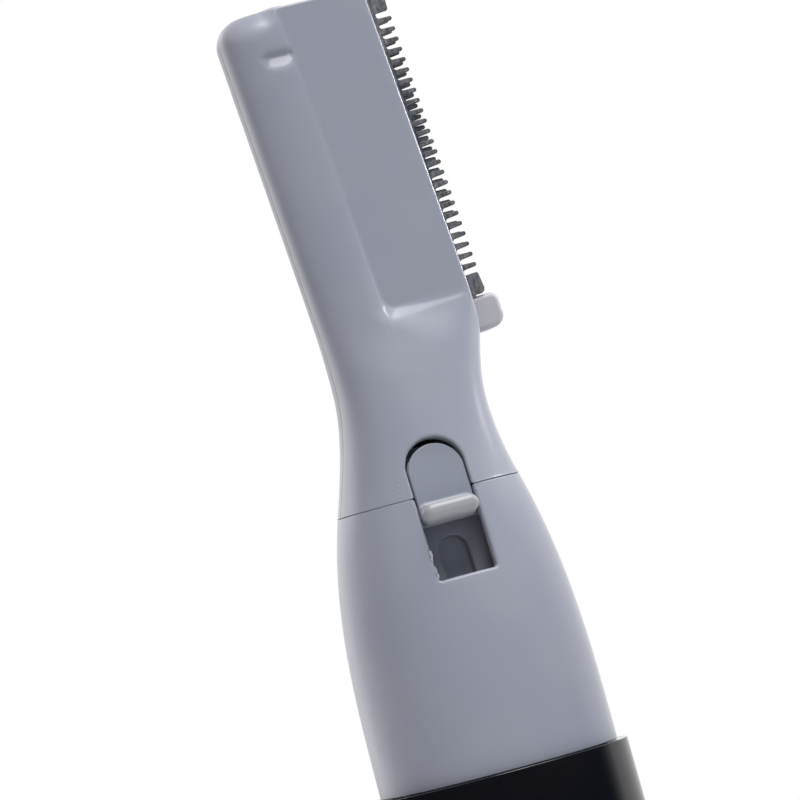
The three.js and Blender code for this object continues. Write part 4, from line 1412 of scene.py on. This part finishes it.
@dataclass
class SlideSwitch:
    """Slider with its thumb ridge, and the fixed bed below it."""

    form: BodyForm
    plane: SwitchPlane
    travel: float = 4.3
    recess: float = 0.4
    thickness: float = 1.0
    top_gap: float = 0.48
    side_gap: float = 0.13
    face_corner: float = 0.15
    face_round: float = 0.14
    foot_lift: float = 0.2
    ridge_height: float = 1.4
    ridge_reach: float = 1.3
    ridge_round: float = 0.6
    ridge_fillet: float = 0.45
    least_fillet: float = 0.02
    bed_thickness: float = 1.05
    pocket_half: float = 1.2
    pocket_drop: float = 0.75
    pocket_sink: float = 0.7
    pocket_fillet: float = 0.15
    pocket_edge: float = 0.1
    waist_half: float = 1.4
    waist_front: float = 1.0
    stem_drop: float = 0.9
    stem_half: float = 0.5
    stem_length: float = 1.1
    stem_back: float = 3.9
    stem_round: float = 0.1
    gate_half: float = 0.8
    gate_above: float = 0.3
    gate_below: float = 0.05
    flange_half: float = 2.9
    flange_front: float = 2.05
    flange_back: float = 2.5
    flange_round: float = 0.1

    @property
    def ridge_foot(self) -> float:
        """Lower side of the ridge, along the plane."""
        return self.plane.foot + self.form.run_gap + self.travel

    def slider(self, u: Array, v: Array, w: Array) -> Array:
        """Distance to the slider, in the plane's axes.

        Args:
            u: Across.
            v: Inwards.
            w: Along.

        Returns:
            Distance, negative inside.
        """
        half = self.plane.slot_half - self.side_gap
        crown = self.plane.top - self.top_gap - half
        side = np.where(w > crown, np.hypot(u, w - crown), np.abs(u)) - half
        foot = self.ridge_foot + self.ridge_height / 2 - w
        back = self.recess + self.thickness
        outline = meet(side, foot, self.face_corner)
        face = meet(outline, slab(v, self.recess, back), self.face_round)
        nose = self.ridge_height / 2
        pill = np.hypot(np.maximum(np.abs(u) - half + nose, 0), w - self.ridge_foot - nose) - nose
        ridge = meet(pill, slab(v, -self.ridge_reach, back), self.ridge_round)
        # Waist and flange hold the slider in the slot from behind, and the stem reaches through the bed.
        stem_top = self.plane.top - self.stem_drop
        foot = self.ridge_foot + self.foot_lift
        low = (-self.waist_half, self.waist_front, foot)
        waist = block(u, v, w, low, (self.waist_half, self.flange_back, stem_top))
        low = (-self.flange_half, self.flange_front, foot)
        flange = block(u, v, w, low, (self.flange_half, self.flange_back, stem_top), self.flange_round)
        low = (-self.stem_half, self.flange_front, stem_top - self.stem_length)
        stem = block(u, v, w, low, (self.stem_half, self.stem_back, stem_top), self.stem_round)
        rise = np.clip((w - self.ridge_foot) / self.ridge_height, 0.0, 1.0)
        thumb = merge(face, ridge, self.least_fillet + self.ridge_fillet * rise * rise)
        return np.minimum(thumb, np.minimum(waist, np.minimum(flange, stem)))

    def bed(self, x: Array, y: Array, z: Array) -> Array:
        """Distance to the bed, in the frame's axes.

        Args:
            x: X of the points.
            y: Y of the points.
            z: Z of the points.

        Returns:
            Distance, negative inside.
        """
        u, v, w = self.plane.local(x, y, z)
        depth = self.plane.bed_depth
        length = slab(w, self.plane.foot - 1, self.plane.top)
        board = np.maximum(slab(v, depth, depth + self.bed_thickness), length)
        stem_top = self.plane.top - self.stem_drop
        gate_foot = stem_top - self.stem_length - self.travel - self.gate_below
        gate = np.maximum(np.abs(u) - self.gate_half, slab(w, gate_foot, stem_top + self.gate_above))
        crown = self.ridge_foot - self.pocket_drop - self.pocket_half
        side = np.where(w > crown, np.hypot(u, w - crown), np.abs(u)) - self.pocket_half
        pocket = meet(side, v - depth - self.pocket_sink, self.pocket_fillet)
        whole = carve(np.maximum(board, -gate), pocket, self.pocket_edge)
        return np.maximum(whole, self.form.skin(x, y, z) + self.form.wall + self.form.seat_gap)

    def build(self) -> list[bpy.types.Object]:
        """Meshes the slider and the bed.

        Returns:
            Both, the slider first.
        """
        us = spaced((-3.1, -2.4, 0.12), (-2.4, 2.4, 0.08), (2.4, 3.1, 0.12))
        vs = spaced((-1.5, 1.6, 0.08), (1.6, 4.1, 0.14))
        ws = spaced((-1.4, 0.6, 0.07), (0.6, 3.0, 0.14), (3.0, 5.6, 0.08))
        slider = Skin(self.slider, us, vs, ws, self.plane.matrix).build("switch_thumb")
        xs = spaced((-7.4, -1.8, 0.3), (-1.8, 1.8, 0.12), (1.8, 7.4, 0.3))
        bed = Skin(self.bed, xs, spaced((-6.4, -1.6, 0.15)), spaced((83.8, 98.4, 0.16))).build("switch_floor")
        return [slider, bed]

    def dress(self, thumb: Finish, shell: Finish) -> None:
        """Builds both and fits them to the switch and the chassis.

        Args:
            thumb: Finish of the slider.
            shell: Finish of the bed, a darker copy of the shell grey that paints the shade in the slot.
        """
        slider, bed = self.build()
        fit(slider, Body.SWITCH, Slot.SWITCH, thumb, "switch_slider")
        # The bed's darker grey is painted shade for the shadow under the thumb ridge.
        fit(bed, Body.CHASSIS, Slot.SHELL, shell, "switch_bed")


@dataclass
class ToothRow:
    """Plate with a row of teeth, instanced along its edge by Geometry Nodes."""

    name: str
    front: float
    back: float
    reach: float
    count: int
    pitch: float
    first: float
    outline: list[tuple[float, float]]
    length: float
    root: float = 0.46
    tip: float = 0.36
    flare: float = 0.2
    tuck: float = 0.1
    plate_bevel: float = 0.05
    tooth_bevel: float = 0.07

    def sheet(self, name: str, outline: list[tuple[float, float]], bevel: float) -> bpy.types.Object:
        """Flat piece with eased edges.

        Args:
            name: Name of the object.
            outline: X and Z of its corners, counter-clockwise seen from -Y.
            bevel: Width of the eased edges.

        Returns:
            The object, in the blade's own axes.
        """
        sheet = bmesh.new()
        corners = [sheet.verts.new((x * MM, self.front * MM, z * MM)) for x, z in outline]
        face = sheet.faces.new(corners)
        back = bmesh.ops.extrude_face_region(sheet, geom=[face])["geom"]
        moved = [v for v in back if isinstance(v, bmesh.types.BMVert)]
        bmesh.ops.translate(sheet, verts=moved, vec=(0, (self.back - self.front) * MM, 0))
        bmesh.ops.recalc_face_normals(sheet, faces=sheet.faces)
        rims = [e for e in sheet.edges if abs(e.verts[0].co.y - e.verts[1].co.y) < 1e-7]
        # The eased faces are marked, so that the blade finish paints shade on them.
        mark = sheet.faces.layers.float.new("eased")
        eased = bmesh.ops.bevel(sheet, geom=rims, offset=bevel * MM, segments=2, profile=0.6, affect="EDGES")
        for strip in eased["faces"]:
            strip[mark] = 1.0
        mesh = bpy.data.meshes.new(name)
        sheet.to_mesh(mesh)
        sheet.free()
        obj = bpy.data.objects.new(name, mesh)
        bpy.context.scene.collection.objects.link(obj)
        return obj

    def tooth(self) -> list[tuple[float, float]]:
        """Outline of one tooth, flared at its root and round at its tip.

        Returns:
            X and Z of its corners.
        """
        base = self.reach - self.length
        tip = self.tip / 2
        root = self.root / 2
        lower = [(base - self.tuck, -root - self.flare)]
        for a in np.linspace(0, math.pi / 2, 6):
            lower.append((base + self.flare * (1 - math.cos(a)), -root - self.flare * (1 - math.sin(a))))
        turn = np.linspace(-math.pi / 2, math.pi / 2, 9)
        nose = [(self.reach - tip + tip * math.cos(a), tip * math.sin(a)) for a in turn]
        return lower + nose + [(x, -z) for x, z in reversed(lower)]

    def tree(self) -> bpy.types.NodeTree:
        """Builds the node tree that sets teeth along the plate, once for both blades.

        Returns:
            The node tree.
        """
        if "tooth_row" in bpy.data.node_groups:
            return bpy.data.node_groups["tooth_row"]
        group = bpy.data.node_groups.new("tooth_row", "GeometryNodeTree")
        ports = [
            ("Plate", "NodeSocketGeometry"),
            ("Tooth", "NodeSocketObject"),
            ("Count", "NodeSocketInt"),
            ("Pitch", "NodeSocketFloat"),
            ("First", "NodeSocketFloat"),
            ("Finish", "NodeSocketMaterial"),
        ]
        for name, kind in ports:
            group.interface.new_socket(name, in_out="INPUT", socket_type=kind)
        group.interface.new_socket("Blade", in_out="OUTPUT", socket_type="NodeSocketGeometry")
        wiring = Wiring(group)
        source = wiring.add("NodeGroupInput").outputs
        start = wiring.add("ShaderNodeCombineXYZ", {"Z": source["First"]}).outputs[0]
        step = wiring.add("ShaderNodeCombineXYZ", {"Z": source["Pitch"]}).outputs[0]
        spots = {"Count": source["Count"], "Start Location": start, "Offset": step}
        line = wiring.add("GeometryNodeMeshLine", spots).outputs[0]
        shape = wiring.add("GeometryNodeObjectInfo", {"Object": source["Tooth"]}).outputs["Geometry"]
        row = wiring.add("GeometryNodeInstanceOnPoints", {"Points": line, "Instance": shape}).outputs[0]
        teeth = wiring.add("GeometryNodeRealizeInstances", {"Geometry": row}).outputs[0]
        joined = wiring.add("GeometryNodeJoinGeometry", {"Geometry": teeth})
        group.links.new(source["Plate"], joined.inputs[0])
        dress = {"Geometry": joined.outputs[0], "Material": source["Finish"]}
        wiring.add("NodeGroupOutput", {"Blade": wiring.add("GeometryNodeSetMaterial", dress).outputs[0]})
        return group

    def build(self, place: Matrix, finish: Finish) -> bpy.types.Object:
        """Runs the tree and turns its result into a plain mesh in place.

        Args:
            place: Place of the blade set, in millimetres.
            finish: Finish of the blade.

        Returns:
            The finished blade.
        """
        plate = self.sheet(self.name, self.outline, self.plate_bevel)
        tooth = self.sheet(self.name + "_tooth", self.tooth(), self.tooth_bevel)
        modifier = plate.modifiers.new("teeth", "NODES")
        modifier.node_group = self.tree()
        values = {
            "Tooth": tooth,
            "Count": self.count,
            "Pitch": self.pitch * MM,
            "First": self.first * MM,
            "Finish": finish.material(),
        }
        for item in modifier.node_group.interface.items_tree:
            if item.in_out == "INPUT" and item.name in values:
                modifier[item.identifier] = values[item.name]
        bpy.context.view_layer.update()
        evaluated = plate.evaluated_get(bpy.context.evaluated_depsgraph_get())
        mesh = bpy.data.meshes.new_from_object(evaluated)
        plate.modifiers.remove(modifier)
        plate.data = mesh
        bpy.data.objects.remove(tooth)
        metres = place.copy()
        metres.translation = place.translation * MM
        mesh.transform(metres)
        return plate


@dataclass
class BladeSet:
    """Fixed comb, moving cutter and the frame that carries them, with its nub below the comb."""

    form: BodyForm
    plane: BladePlane
    reach: float = 1.2
    tooth_length: float = 1.2
    tooth_half: float = 0.22
    pitch: float = 0.87
    count: int = 25
    block: float = 1.75
    gap: float = 0.43
    length: float = 25.269
    depth: float = 3.6
    comb_front: float = -1.4
    comb_back: float = -1.0
    cutter_front: float = -0.9
    cutter_back: float = -0.55
    cutter_setback: float = 0.2
    cutter_inset: float = 0.5
    cutter_drop: float = 0.08
    frame_play: float = 0.65
    frame_edge: float = 0.5
    frame_front: float = -0.9
    base_front: float = 1.45
    base_back: float = 2.45
    base_edge: float = 0.3
    base_beyond: float = 0.4
    base_round: float = 0.15
    post_back: float = 1.7
    post_round: float = 0.12
    nub_reach: float = 2.1
    nub_length: float = 2.9
    nub_front: float = -1.3
    nub_drop: float = 0.1
    nub_lower_round: float = 1.05
    nub_upper_round: float = 0.75
    nub_edge: float = 0.42

    @property
    def first(self) -> float:
        """Middle of the first tooth along the blade."""
        return self.block + self.gap + self.tooth_half

    @property
    def cutter_count(self) -> int:
        """The cutter's teeth, one fewer than the comb's over the same span."""
        return self.count - 1

    @property
    def cutter_pitch(self) -> float:
        """Spacing of the cutter's teeth, which stand a little below the comb's at the top."""
        return ((self.count - 1) * self.pitch - self.cutter_drop) / (self.cutter_count - 1)

    def comb(self) -> ToothRow:
        """Sets out the fixed comb, with a solid block at each end.

        Returns:
            The comb's plate and teeth.
        """
        head = self.block + self.gap + self.count * self.pitch
        root = self.reach - self.tooth_length
        outline = [
            (-self.depth, 0),
            (self.reach - 0.3, 0),
            (self.reach - 0.08, 0.14),
            (self.reach, 0.36),
            (self.reach - 0.1, self.block - 0.12),
            (self.reach - 0.22, self.block),
            (root + 0.06, self.block),
            (root, self.block + 0.06),
            (root, head - 0.06),
            (root + 0.06, head),
            (self.reach - 0.22, head),
            (self.reach - 0.1, head + 0.12),
            (self.reach, self.length),
            (-self.depth, self.length),
        ]
        sides = (self.comb_front, self.comb_back)
        span = (self.count, self.pitch, self.first)
        return ToothRow("comb_plate", *sides, self.reach, *span, outline, self.tooth_length)

    def cutter(self) -> ToothRow:
        """Sets out the moving cutter, with a slightly wider pitch.

        Returns:
            The cutter's plate and teeth.
        """
        reach = self.reach - self.cutter_setback
        low = self.first - self.cutter_pitch / 2
        high = self.first + (self.cutter_count - 1) * self.cutter_pitch + self.tooth_half
        back = self.cutter_inset - self.depth
        root = reach - self.tooth_length
        outline = [(back, low), (root, low), (root, high), (back, high)]
        sides = (self.cutter_front, self.cutter_back)
        span = (self.cutter_count, self.cutter_pitch, self.first)
        return ToothRow("cutter_plate", *sides, reach, *span, outline, self.tooth_length)

    def frame(self, u: Array, v: Array, w: Array) -> Array:
        """Distance to the frame, in the blade's axes.

        Args:
            u: Across.
            v: Inwards.
            w: Along.

        Returns:
            Distance, negative inside.
        """
        last = self.first + (self.cutter_count - 1) * self.cutter_pitch
        low = self.first - self.cutter_pitch / 2 - self.frame_play
        high = last + (self.tooth_half + self.frame_play)
        foot = -self.nub_length
        corner = (-self.depth - self.base_beyond, self.base_front, foot)
        base = block(u, v, w, corner, (self.base_edge, self.base_back, self.length), self.base_round)
        # A post stands at each end, clear of the cutter's stroke.
        front, back = (-self.depth, self.frame_front), (self.frame_edge, self.post_back)
        lower = block(u, v, w, (*front, foot), (*back, low), self.post_round)
        upper = block(u, v, w, (*front, high), (*back, self.length), self.post_round)
        side = meet(u - self.nub_reach, foot - w, self.nub_lower_round)
        side = meet(side, w + self.nub_drop, self.nub_upper_round)
        nub = np.maximum(side, -self.nub_reach - u)
        nub = meet(nub, slab(v, self.nub_front, self.base_back), self.nub_edge)
        return np.minimum(np.minimum(base, nub), np.minimum(lower, upper))

    def dress(self, steel: Finish, pale: Finish) -> None:
        """Builds the blades and the frame and fits them.

        Args:
            steel: Finish of the blades.
            pale: Finish of the frame.
        """
        place = self.plane.matrix
        fit(self.comb().build(place, steel), Body.CHASSIS, Slot.BLADE, steel, "comb_blade")
        fit(self.cutter().build(place, steel), Body.CUTTER, Slot.BLADE, steel, "cutter_blade")
        us = spaced((-4.2, -0.4, 0.25), (-0.4, 2.3, 0.1))
        vs = spaced((-1.5, 2.7, 0.12))
        ws = spaced((-3.1, 0.2, 0.1), (0.2, 25.5, 0.3))
        holder = Skin(self.frame, us, vs, ws, place).build("blade_holder")
        fit(holder, Body.CHASSIS, Slot.PALE, pale, "blade_frame")


@dataclass
class PowerTrain:
    """Inner pieces that keep their CAD form: each gets its finish."""

    nodes: dict[str, bpy.types.Object]
    table: dict[Slot, tuple[str, ...]] = field(
        default_factory=lambda: {
            Slot.NYLON: ("cutter_carrier", "chassis_frame", "motor_end_cap", "swash_cam"),
            Slot.STEEL: (
                "blade_spring",
                "comb_pin_lower",
                "comb_pin_upper",
                "motor_can",
                "motor_shaft",
                "negative_spring",
            ),
            Slot.BRASS: (
                "switch_contact",
                "motor_terminal_left",
                "motor_terminal_right",
                "motor_bush",
                "positive_contact",
                "contact_strip",
            ),
            Slot.JACKET: ("battery_cell",),
        }
    )

    def dress(self, finishes: dict[Slot, Finish]) -> None:
        """Dresses the inner pieces.

        Args:
            finishes: Finishes by slot.
        """
        for slot, names in self.table.items():
            for name in names:
                mesh = self.nodes[name].data
                mesh.materials.clear()
                mesh.materials.append(finishes[slot].material())
                LOG.info("%s keeps its CAD form", name)


@dataclass
class MouldFlash:
    """Tiny crumbs of moulding flash left on the slot's edge and along the seam."""

    form: BodyForm
    switch: SwitchPlane
    # Place across the slot and along it, half width and half length of each crumb.
    crumbs: tuple[tuple[float, float, float, float], ...] = (
        (-2.46, -3.55, 0.13, 0.3),
        (-2.5, -3.95, 0.1, 0.16),
        (-2.43, -4.95, 0.07, 0.34),
        (-2.4, -5.4, 0.08, 0.2),
        (-3.2, 2.4, 0.06, 0.1),
        (-3.35, 2.05, 0.05, 0.07),
        (-3.1, 1.7, 0.05, 0.08),
        (-2.75, 0.78, 0.07, 0.06),
        (-2.62, 0.45, 0.06, 0.09),
        (2.62, 0.62, 0.09, 0.1),
        (2.85, 1.18, 0.16, 0.05),
    )
    lift: float = 0.01
    flatness: float = 0.6

    def surface(self, x: float, z: float) -> float:
        """Finds the body's front at a place.

        Args:
            x: X of the place.
            z: Z of the place.

        Returns:
            Y of the surface there.
        """
        near, far = -12.0, 0.0
        for _ in range(40):
            middle = (near + far) / 2
            outside = float(self.form.skin(np.array(x), np.array(middle), np.array(z))) > 0
            near, far = (middle, far) if outside else (near, middle)
        return near

    def build(self) -> bpy.types.Object:
        """Builds every crumb as a lumpy pebble that is half sunk in the surface.

        Returns:
            All crumbs as one piece.
        """
        whole = bmesh.new()
        lean = math.radians(self.switch.tilt)
        middle = self.form.seam_z - self.switch.below_seam
        for k, (across, along, half_width, half_length) in enumerate(self.crumbs):
            z = middle + along * math.cos(lean)
            spot = Vector((across, self.surface(across, z) - self.lift, z)) * MM
            made = bmesh.ops.create_icosphere(whole, subdivisions=3, radius=1.0)
            for vert in made["verts"]:
                p = vert.co.copy()
                lump = 1 + 0.16 * math.sin(5 * p.x + k) * math.sin(4 * p.z + 2 * k)
                lump += 0.1 * math.sin(9 * p.z + 3 * p.x)
                size = Vector((half_width * lump, self.flatness * half_width, half_length * lump))
                vert.co = spot + Vector([a * b * MM for a, b in zip(p, size)])
        mesh = bpy.data.meshes.new("flash_crumbs")
        whole.to_mesh(mesh)
        whole.free()
        mesh.polygons.foreach_set("use_smooth", [True] * len(mesh.polygons))
        obj = bpy.data.objects.new("flash_crumbs", mesh)
        bpy.context.scene.collection.objects.link(obj)
        return obj

    def dress(self, finish: Finish) -> None:
        """Builds the crumbs and fits them to the chassis."""
        fit(self.build(), Body.CHASSIS, Slot.PALE, finish)


@dataclass
class Studio:
    """Plain pale floor, soft lights, a dark card behind the camera and the camera itself."""

    azimuth: float = -12.0
    elevation: float = -2.0
    roll: float = 14.8
    distance: float = 420.0
    field_width: float = 64.0
    target: Station = (-0.12, 0.0, 100.53)
    ambient: float = 0.455
    card_level: float = 0.03
    card_spread: float = 112.0
    card_fade: float = 24.0
    card_radius: float = 600.0
    card_foot: float = -200.0
    card_top: float = 420.0
    floor_radius: float = 600.0
    floor_fade: tuple[float, float] = (80.0, 500.0)
    sensor: float = 36.0
    beam_softness: float = 15.0

    def axes(self) -> tuple[Vector, Vector, Vector]:
        """Works out how the camera stands.

        Returns:
            Its right, up and backward directions.
        """
        a, e, t = (math.radians(v) for v in (self.azimuth, self.elevation, self.roll))
        right = Vector((math.cos(a), math.sin(a), 0))
        up = Vector((-math.sin(a) * math.sin(e), math.cos(a) * math.sin(e), math.cos(e)))
        back = Vector((math.sin(a) * math.cos(e), -math.cos(a) * math.cos(e), math.sin(e)))
        return right * math.cos(t) - up * math.sin(t), right * math.sin(t) + up * math.cos(t), back

    def camera(self) -> None:
        """Sets the camera at the photograph's viewing angle."""
        data = bpy.data.cameras.new("camera")
        data.sensor_width = self.sensor
        data.lens = self.sensor * self.distance / self.field_width
        data.clip_start, data.clip_end = 0.01, 20.0
        camera = bpy.data.objects.new("camera", data)
        right, up, back = self.axes()
        spot = (Vector(self.target) + back * self.distance) * MM
        turn = Matrix((right, up, back)).transposed().to_4x4()
        camera.matrix_world = Matrix.Translation(spot) @ turn
        bpy.context.scene.collection.objects.link(camera)
        bpy.context.scene.camera = camera

    def world(self) -> None:
        """White surround for what the camera and reflections see, softer light for the rest."""
        world = bpy.data.worlds.new("surround")
        bpy.context.scene.world = world
        world.use_nodes = True
        world.node_tree.nodes.clear()
        wiring = Wiring(world.node_tree)
        path = wiring.add("ShaderNodeLightPath").outputs
        seen = wiring.math("ADD", path["Is Camera Ray"], path["Is Glossy Ray"], clamp=True)
        seen = wiring.math("ADD", seen, path["Is Transmission Ray"], clamp=True)
        soft = wiring.add("ShaderNodeBackground", {"Color": (0.97, 0.98, 1.0), "Strength": self.ambient})
        white = wiring.add("ShaderNodeBackground", {"Color": WHITE, "Strength": 1.0})
        mixed = wiring.add("ShaderNodeMixShader", {"Fac": seen})
        wiring.feed(mixed.inputs[1], soft.outputs[0])
        wiring.feed(mixed.inputs[2], white.outputs[0])
        wiring.add("ShaderNodeOutputWorld", {"Surface": mixed.outputs[0]})

    @staticmethod
    def hang(data: bpy.types.Light, spot: Station, aim: Station) -> None:
        """Hangs a lamp up.

        Args:
            data: The light.
            spot: Its place.
            aim: Point that it faces.
        """
        lamp = bpy.data.objects.new(data.name, data)
        lamp.location = Vector(spot) * MM
        lamp.rotation_euler = (Vector(aim) - Vector(spot)).to_track_quat("-Z", "Y").to_euler()
        bpy.context.scene.collection.objects.link(lamp)

    def lamp(self, name: str, spot: Station, size: float, power: float, color: Color = WHITE) -> None:
        """Square soft lamp that faces the head.

        Args:
            name: Name of the lamp.
            spot: Its place.
            size: Length of its side.
            power: Power in watts.
            color: Colour of its light.
        """
        data = bpy.data.lights.new(name, "AREA")
        data.size = size * MM
        data.energy = power
        data.color = color
        self.hang(data, spot, self.target)

    def beam(self, name: str, spot: Station, aim: Station, width: float, power: float) -> None:
        """Narrow soft-edged lamp that lifts one side of the body.

        Args:
            name: Name of the lamp.
            spot: Its place.
            aim: Point that it faces.
            width: Width of its pool of light there.
            power: Power in watts.
        """
        data = bpy.data.lights.new(name, "SPOT")
        data.energy = power
        data.shadow_soft_size = self.beam_softness * MM
        data.spot_blend = 1.0
        data.spot_size = 2 * math.atan(width / 2 / (Vector(aim) - Vector(spot)).length)
        self.hang(data, spot, aim)

    def floor(self) -> None:
        """Pale round floor, clear from below, that fades out so that only the shadow shows on white."""
        around = 96
        angle = np.linspace(0, 2 * math.pi, around, endpoint=False)
        rim = np.stack([np.cos(angle), np.sin(angle), np.zeros(around)], axis=1)
        obj = mesh_object("floor", self.floor_radius * rim, [list(range(around))])
        material = bpy.data.materials.new("pale_floor")
        material.use_nodes = True
        material.node_tree.nodes.clear()
        wiring = Wiring(material.node_tree)
        spot = wiring.add("ShaderNodeTexCoord").outputs["Object"]
        reach = wiring.add("ShaderNodeVectorMath", operation="LENGTH")
        wiring.feed(reach.inputs[0], spot)
        fade = wiring.ramp(reach.outputs["Value"], *(edge * MM for edge in self.floor_fade))
        below = wiring.add("ShaderNodeNewGeometry").outputs["Backfacing"]
        fade = wiring.math("ADD", fade, below, clamp=True)
        pale = wiring.add("ShaderNodeBsdfDiffuse", {"Color": (0.9, 0.9, 0.91)})
        clear = wiring.add("ShaderNodeBsdfTransparent")
        mixed = wiring.add("ShaderNodeMixShader", {"Fac": fade})
        wiring.feed(mixed.inputs[1], pale.outputs[0])
        wiring.feed(mixed.inputs[2], clear.outputs[0])
        wiring.add("ShaderNodeOutputMaterial", {"Surface": mixed.outputs[0]})
        obj.data.materials.append(material)

    def card(self) -> None:
        """Dark card behind the camera that pales to both ends, seen only in reflections."""
        count = 65
        turns = np.linspace(-self.card_spread, self.card_spread, count)
        x, y = (self.card_radius * turn(np.radians(turns + self.azimuth)) for turn in (np.sin, np.cos))
        low = np.stack([x, -y, np.full(count, self.card_foot)], axis=1)
        high = np.stack([x, -y, np.full(count, self.card_top)], axis=1)
        faces = [[k, k + 1, k + count + 1, k + count] for k in range(count - 1)]
        obj = mesh_object("dark_card", np.concatenate([low, high]), faces)
        material = bpy.data.materials.new("dark_card")
        material.use_nodes = True
        material.node_tree.nodes.clear()
        wiring = Wiring(material.node_tree)
        pale = np.clip((np.abs(turns) - self.card_spread) / self.card_fade + 1.0, 0.0, 1.0) ** 2
        level = obj.data.attributes.new("level", "FLOAT", "POINT")
        level.data.foreach_set("value", np.tile(self.card_level + (1 - self.card_level) * pale, 2))
        shade = wiring.add("ShaderNodeAttribute", attribute_name="level").outputs["Fac"]
        glow = wiring.add("ShaderNodeEmission", {"Color": WHITE, "Strength": shade}).outputs[0]
        wiring.add("ShaderNodeOutputMaterial", {"Surface": glow})
        obj.data.materials.append(material)
        obj.visible_camera = False
        obj.visible_shadow = False
        obj.visible_diffuse = False

    def build(self) -> None:
        """Sets the whole studio up."""
        bpy.context.scene.view_settings.view_transform = "Standard"
        self.world()
        self.floor()
        self.card()
        self.lamp("key_lamp", (50, -300, 520), 150, 1.05)
        self.lamp("top_lamp", (190, -90, 700), 260, 2.1)
        self.lamp("fill_lamp", (220, -560, 160), 400, 0.3, (0.5, 0.8, 1.0))
        self.lamp("rim_lamp", (-320, 560, 160), 300, 0.12)
        self.beam("neck_beam", (348, -20, 290), (6, -2, 99), 24, 5.6)
        self.beam("collar_beam", (-248, 260, 262), (-8, 0, 80), 36, 4.4)
        self.beam("edge_beam", (380, 30, 170), (6, -3, 121), 36, 4.6)
        self.camera()


def finishes(switch: SwitchPlane) -> dict[Slot, Finish]:
    """The finish of each record slot.

    Args:
        switch: Plane of the switch, whose proud ridge gets a lighter, warmer tint.

    Returns:
        Finishes by slot.
    """
    facing = tuple(-switch.matrix.col[1].xyz)
    level = Vector(facing).dot(switch.matrix.translation) * MM
    thumb = ProudTintPlastic(
        "switch_satin",
        (0.24, 0.253, 0.312),
        (0.255, 0.263, 0.315),
        0.34,
        facing=facing,
        from_level=level,
        to_level=level + 0.6 * MM,
    )
    steel = WorkedSteel(
        "plated_steel", (0.66, 0.67, 0.69), (0.56, 0.56, 0.58), 0.26, streak=7000.0, stretch=0.02, stain=0.66
    )
    brass = WorkedSteel(
        "brass_strip", (0.7, 0.48, 0.19), (0.6, 0.4, 0.15), 0.32, streak=9000.0, stretch=0.015, stain=0.6
    )
    return {
        Slot.SHELL: MouldedPlastic("satin_grey", (0.298, 0.305, 0.368), (0.31, 0.317, 0.373), 0.31),
        Slot.SWITCH: thumb,
        Slot.PALE: MouldedPlastic("pale_satin", (0.405, 0.39, 0.43), (0.43, 0.415, 0.45), 0.4),
        Slot.SLEEVE: GlossPlastic("polished_black", (0.0035, 0.0042, 0.0075), (0.006, 0.006, 0.008), 0.07),
        # The blades' eased edges get painted shade.
        Slot.BLADE: GroundSteel("etched_steel", (0.46, 0.445, 0.465), (0.25, 0.24, 0.255), 0.38),
        Slot.STEEL: steel,
        Slot.BRASS: brass,
        Slot.NYLON: MouldedPlastic("natural_nylon", (0.76, 0.74, 0.69), (0.8, 0.79, 0.75), 0.5, grain=1800.0),
        Slot.JACKET: CellJacket("foil_jacket", (0.05, 0.075, 0.11), (0.07, 0.09, 0.125), 0.34),
    }


def main() -> None:
    """Builds every piece on the frame, dresses it and sets the studio."""
    logging.basicConfig(level=logging.INFO, format="%(name)s: %(message)s")
    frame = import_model()
    form = BodyForm()
    switch = SwitchPlane(form)
    finish = finishes(switch)
    BatterySleeve(form).dress(finish[Slot.SLEEVE])
    BodyCollar(form, switch).dress(finish[Slot.SHELL])
    TrimmerHead(form, switch).dress(finish[Slot.SHELL])
    # Darker copy of the shell grey for the bed: painted shade for the shadow in the slot.
    bed = MouldedPlastic("shaded_grey", (0.19, 0.188, 0.232), (0.205, 0.202, 0.242), 0.36)
    SlideSwitch(form, switch).dress(finish[Slot.SWITCH], bed)
    BladeSet(form, BladePlane(form)).dress(finish[Slot.BLADE], finish[Slot.PALE])
    MouldFlash(form, switch).dress(finish[Slot.PALE])
    PowerTrain(frame["nodes"]).dress(finish)
    Studio().build()
    bpy.context.view_layer.update()


if __name__ == "__main__":
    main()
